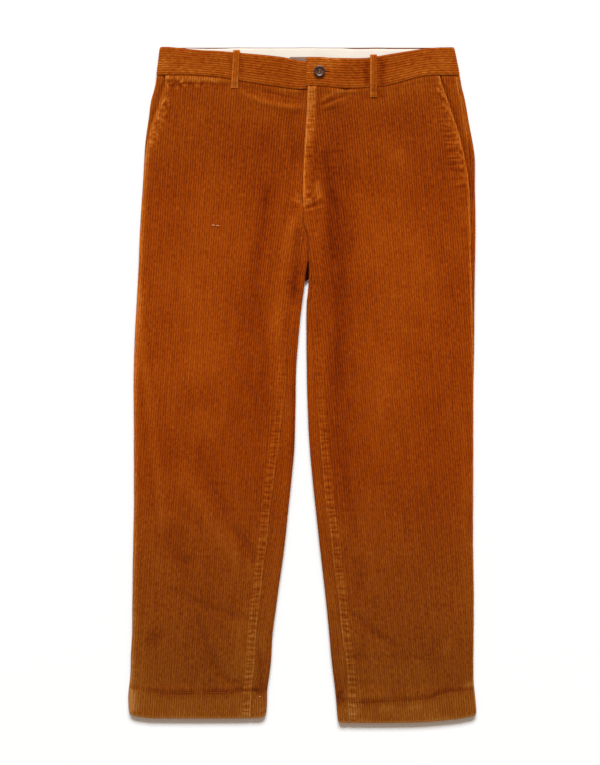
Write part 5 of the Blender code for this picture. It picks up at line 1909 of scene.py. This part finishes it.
class TROUSERS_OT_waist_inside(bpy.types.Operator):
    """Make the pale facing inside the back waistband, and the blank label"""

    bl_idname = "trousers.waist_inside"
    bl_label = "Waist facing and label"

    def execute(self, context):
        pale = shared(woven, "pale_twill", "#f1e7d9", "#ecdfce", 0.9)
        satin = shared(woven, "label_satin", "#9a7a6c", "#7f6256", 0.6)
        facing, label = waist_inside(pale, satin)
        seated(facing, "facing_twill", "waistband_facing")
        seated(label, "label_cloth", "waistband_label")
        laid([0, FACING_HEIGHT], FACING_X[1] - FACING_X[0])
        laid([0, LABEL_HEIGHT], LABEL_X[1] - LABEL_X[0])
        return {"FINISHED"}


class TROUSERS_OT_belt_loops(bpy.types.Operator):
    """Make the five belt loops"""

    bl_idname = "trousers.belt_loops"
    bl_label = "Belt loops"

    def execute(self, context):
        sizes = context.scene.trouser_sizes
        cloth = pile_materials(context, "belt_loop_pile")
        for side in (RIGHT, LEFT):
            piece = front_loop(side, sizes, cloth)
            seated(piece, "waistband_corduroy", f"belt_loop_front_{WORD[side]}")
            x = LOOP_PLACES[side][0]
            length = float(along(BAND_TOP[side], x) - along(WAIST_SEAM[side], x))
            length = length + LOOP_OVER_TOP + FRONT_LOOP_BELOW[side]
            laid([0, length], LOOP_WIDTH)
        for word, x in zip(("right", "centre", "left"), back_loop_places()):
            piece = back_loop(word, x, sizes, cloth)
            seated(piece, "waistband_corduroy", f"belt_loop_back_{word}")
            length = BACK_TOP_Y - 1 - WAIST_Y + LOOP_BELOW_SEAM
            laid([0, length], LOOP_WIDTH)
        return {"FINISHED"}


class TROUSERS_OT_button(bpy.types.Operator):
    """Make the waist button and the threads that hold it"""

    bl_idname = "trousers.button"
    bl_label = "Button"

    def execute(self, context):
        disc = button(shared(horn_plastic, "horn_plastic"))
        seated(disc, "button_plastic", "button")
        cotton = shared(sewing_thread, "button_thread", "#eabb8c")
        tie = threads("button_threads", button_thread_runs(), 0.24, cotton, 0.5, 1.5)
        seated(tie, "button_plastic")
        return {"FINISHED"}


class TROUSERS_OT_sewing(bpy.types.Operator):
    """Sew the pockets, fly, inseams, hems and seat"""

    bl_idname = "trousers.sewing"
    bl_label = "Sewing"

    def execute(self, context):
        material = shared(sewing_thread, "sewing_thread", "#a45117")
        for side in (RIGHT, LEFT):
            for word, runs, lift in (
                ("front", front_stitch_runs(side), 0.35),
                ("back", back_stitch_runs(side), 0.2),
            ):
                name = f"{word}_{WORD[side]}_stitches"
                seated(threads(name, runs, THREAD_RADIUS, material, lift), "corduroy")
        return {"FINISHED"}


class TROUSERS_OT_lint(bpy.types.Operator):
    """Lay three bits of pale lint on the right leg"""

    bl_idname = "trousers.lint"
    bl_label = "Lint"

    def execute(self, context):
        fluff = shared(sewing_thread, "lint_fibre", "#eac39c", "#d29665")
        runs = [lint_run(bit) for bit in LINT]
        seated(threads("lint", runs, 0.6, fluff, 0.5, 0.1), "corduroy")
        return {"FINISHED"}


class TROUSERS_OT_stage(bpy.types.Operator):
    """Make the pale floor, the soft lights and the camera that looks straight down"""

    bl_idname = "trousers.stage"
    bl_label = "Stage"

    def execute(self, context):
        floor()
        lights(context.scene)
        camera(context.scene)
        return {"FINISHED"}


# ---------------------------------------------------------------- panel and run

OPERATORS = (
    TROUSERS_OT_backs, TROUSERS_OT_fronts, TROUSERS_OT_pocket_facings, TROUSERS_OT_waistbands,
    TROUSERS_OT_waist_inside, TROUSERS_OT_belt_loops, TROUSERS_OT_button, TROUSERS_OT_sewing,
    TROUSERS_OT_lint, TROUSERS_OT_stage,
)


class TROUSERS_PT_panel(bpy.types.Panel):
    """Lists the sizes, the colours and one button for each step"""

    bl_idname = "TROUSERS_PT_panel"
    bl_label = "Corduroy trousers"
    bl_space_type = "VIEW_3D"
    bl_region_type = "UI"
    bl_category = "Trousers"

    def draw(self, context):
        for group in (context.scene.trouser_sizes, context.scene.trouser_colours):
            for name in group.__annotations__:
                self.layout.prop(group, name)
        for step in OPERATORS:
            self.layout.operator(step.bl_idname)


CLASSES = (TrouserSizes, TrouserColours, *OPERATORS, TROUSERS_PT_panel)


def register():
    for cls in CLASSES:
        bpy.utils.register_class(cls)
    bpy.types.Scene.trouser_sizes = bpy.props.PointerProperty(type=TrouserSizes)
    bpy.types.Scene.trouser_colours = bpy.props.PointerProperty(type=TrouserColours)


def unregister():
    del bpy.types.Scene.trouser_colours
    del bpy.types.Scene.trouser_sizes
    for cls in reversed(CLASSES):
        bpy.utils.unregister_class(cls)


def main():
    for obj in list(bpy.data.objects):
        if obj.name in ("Cube", "Light", "Camera"):
            bpy.data.objects.remove(obj)
    register()
    for step in OPERATORS:
        getattr(bpy.ops.trousers, step.bl_idname.split(".")[1])()


if __name__ == "__main__":
    main()
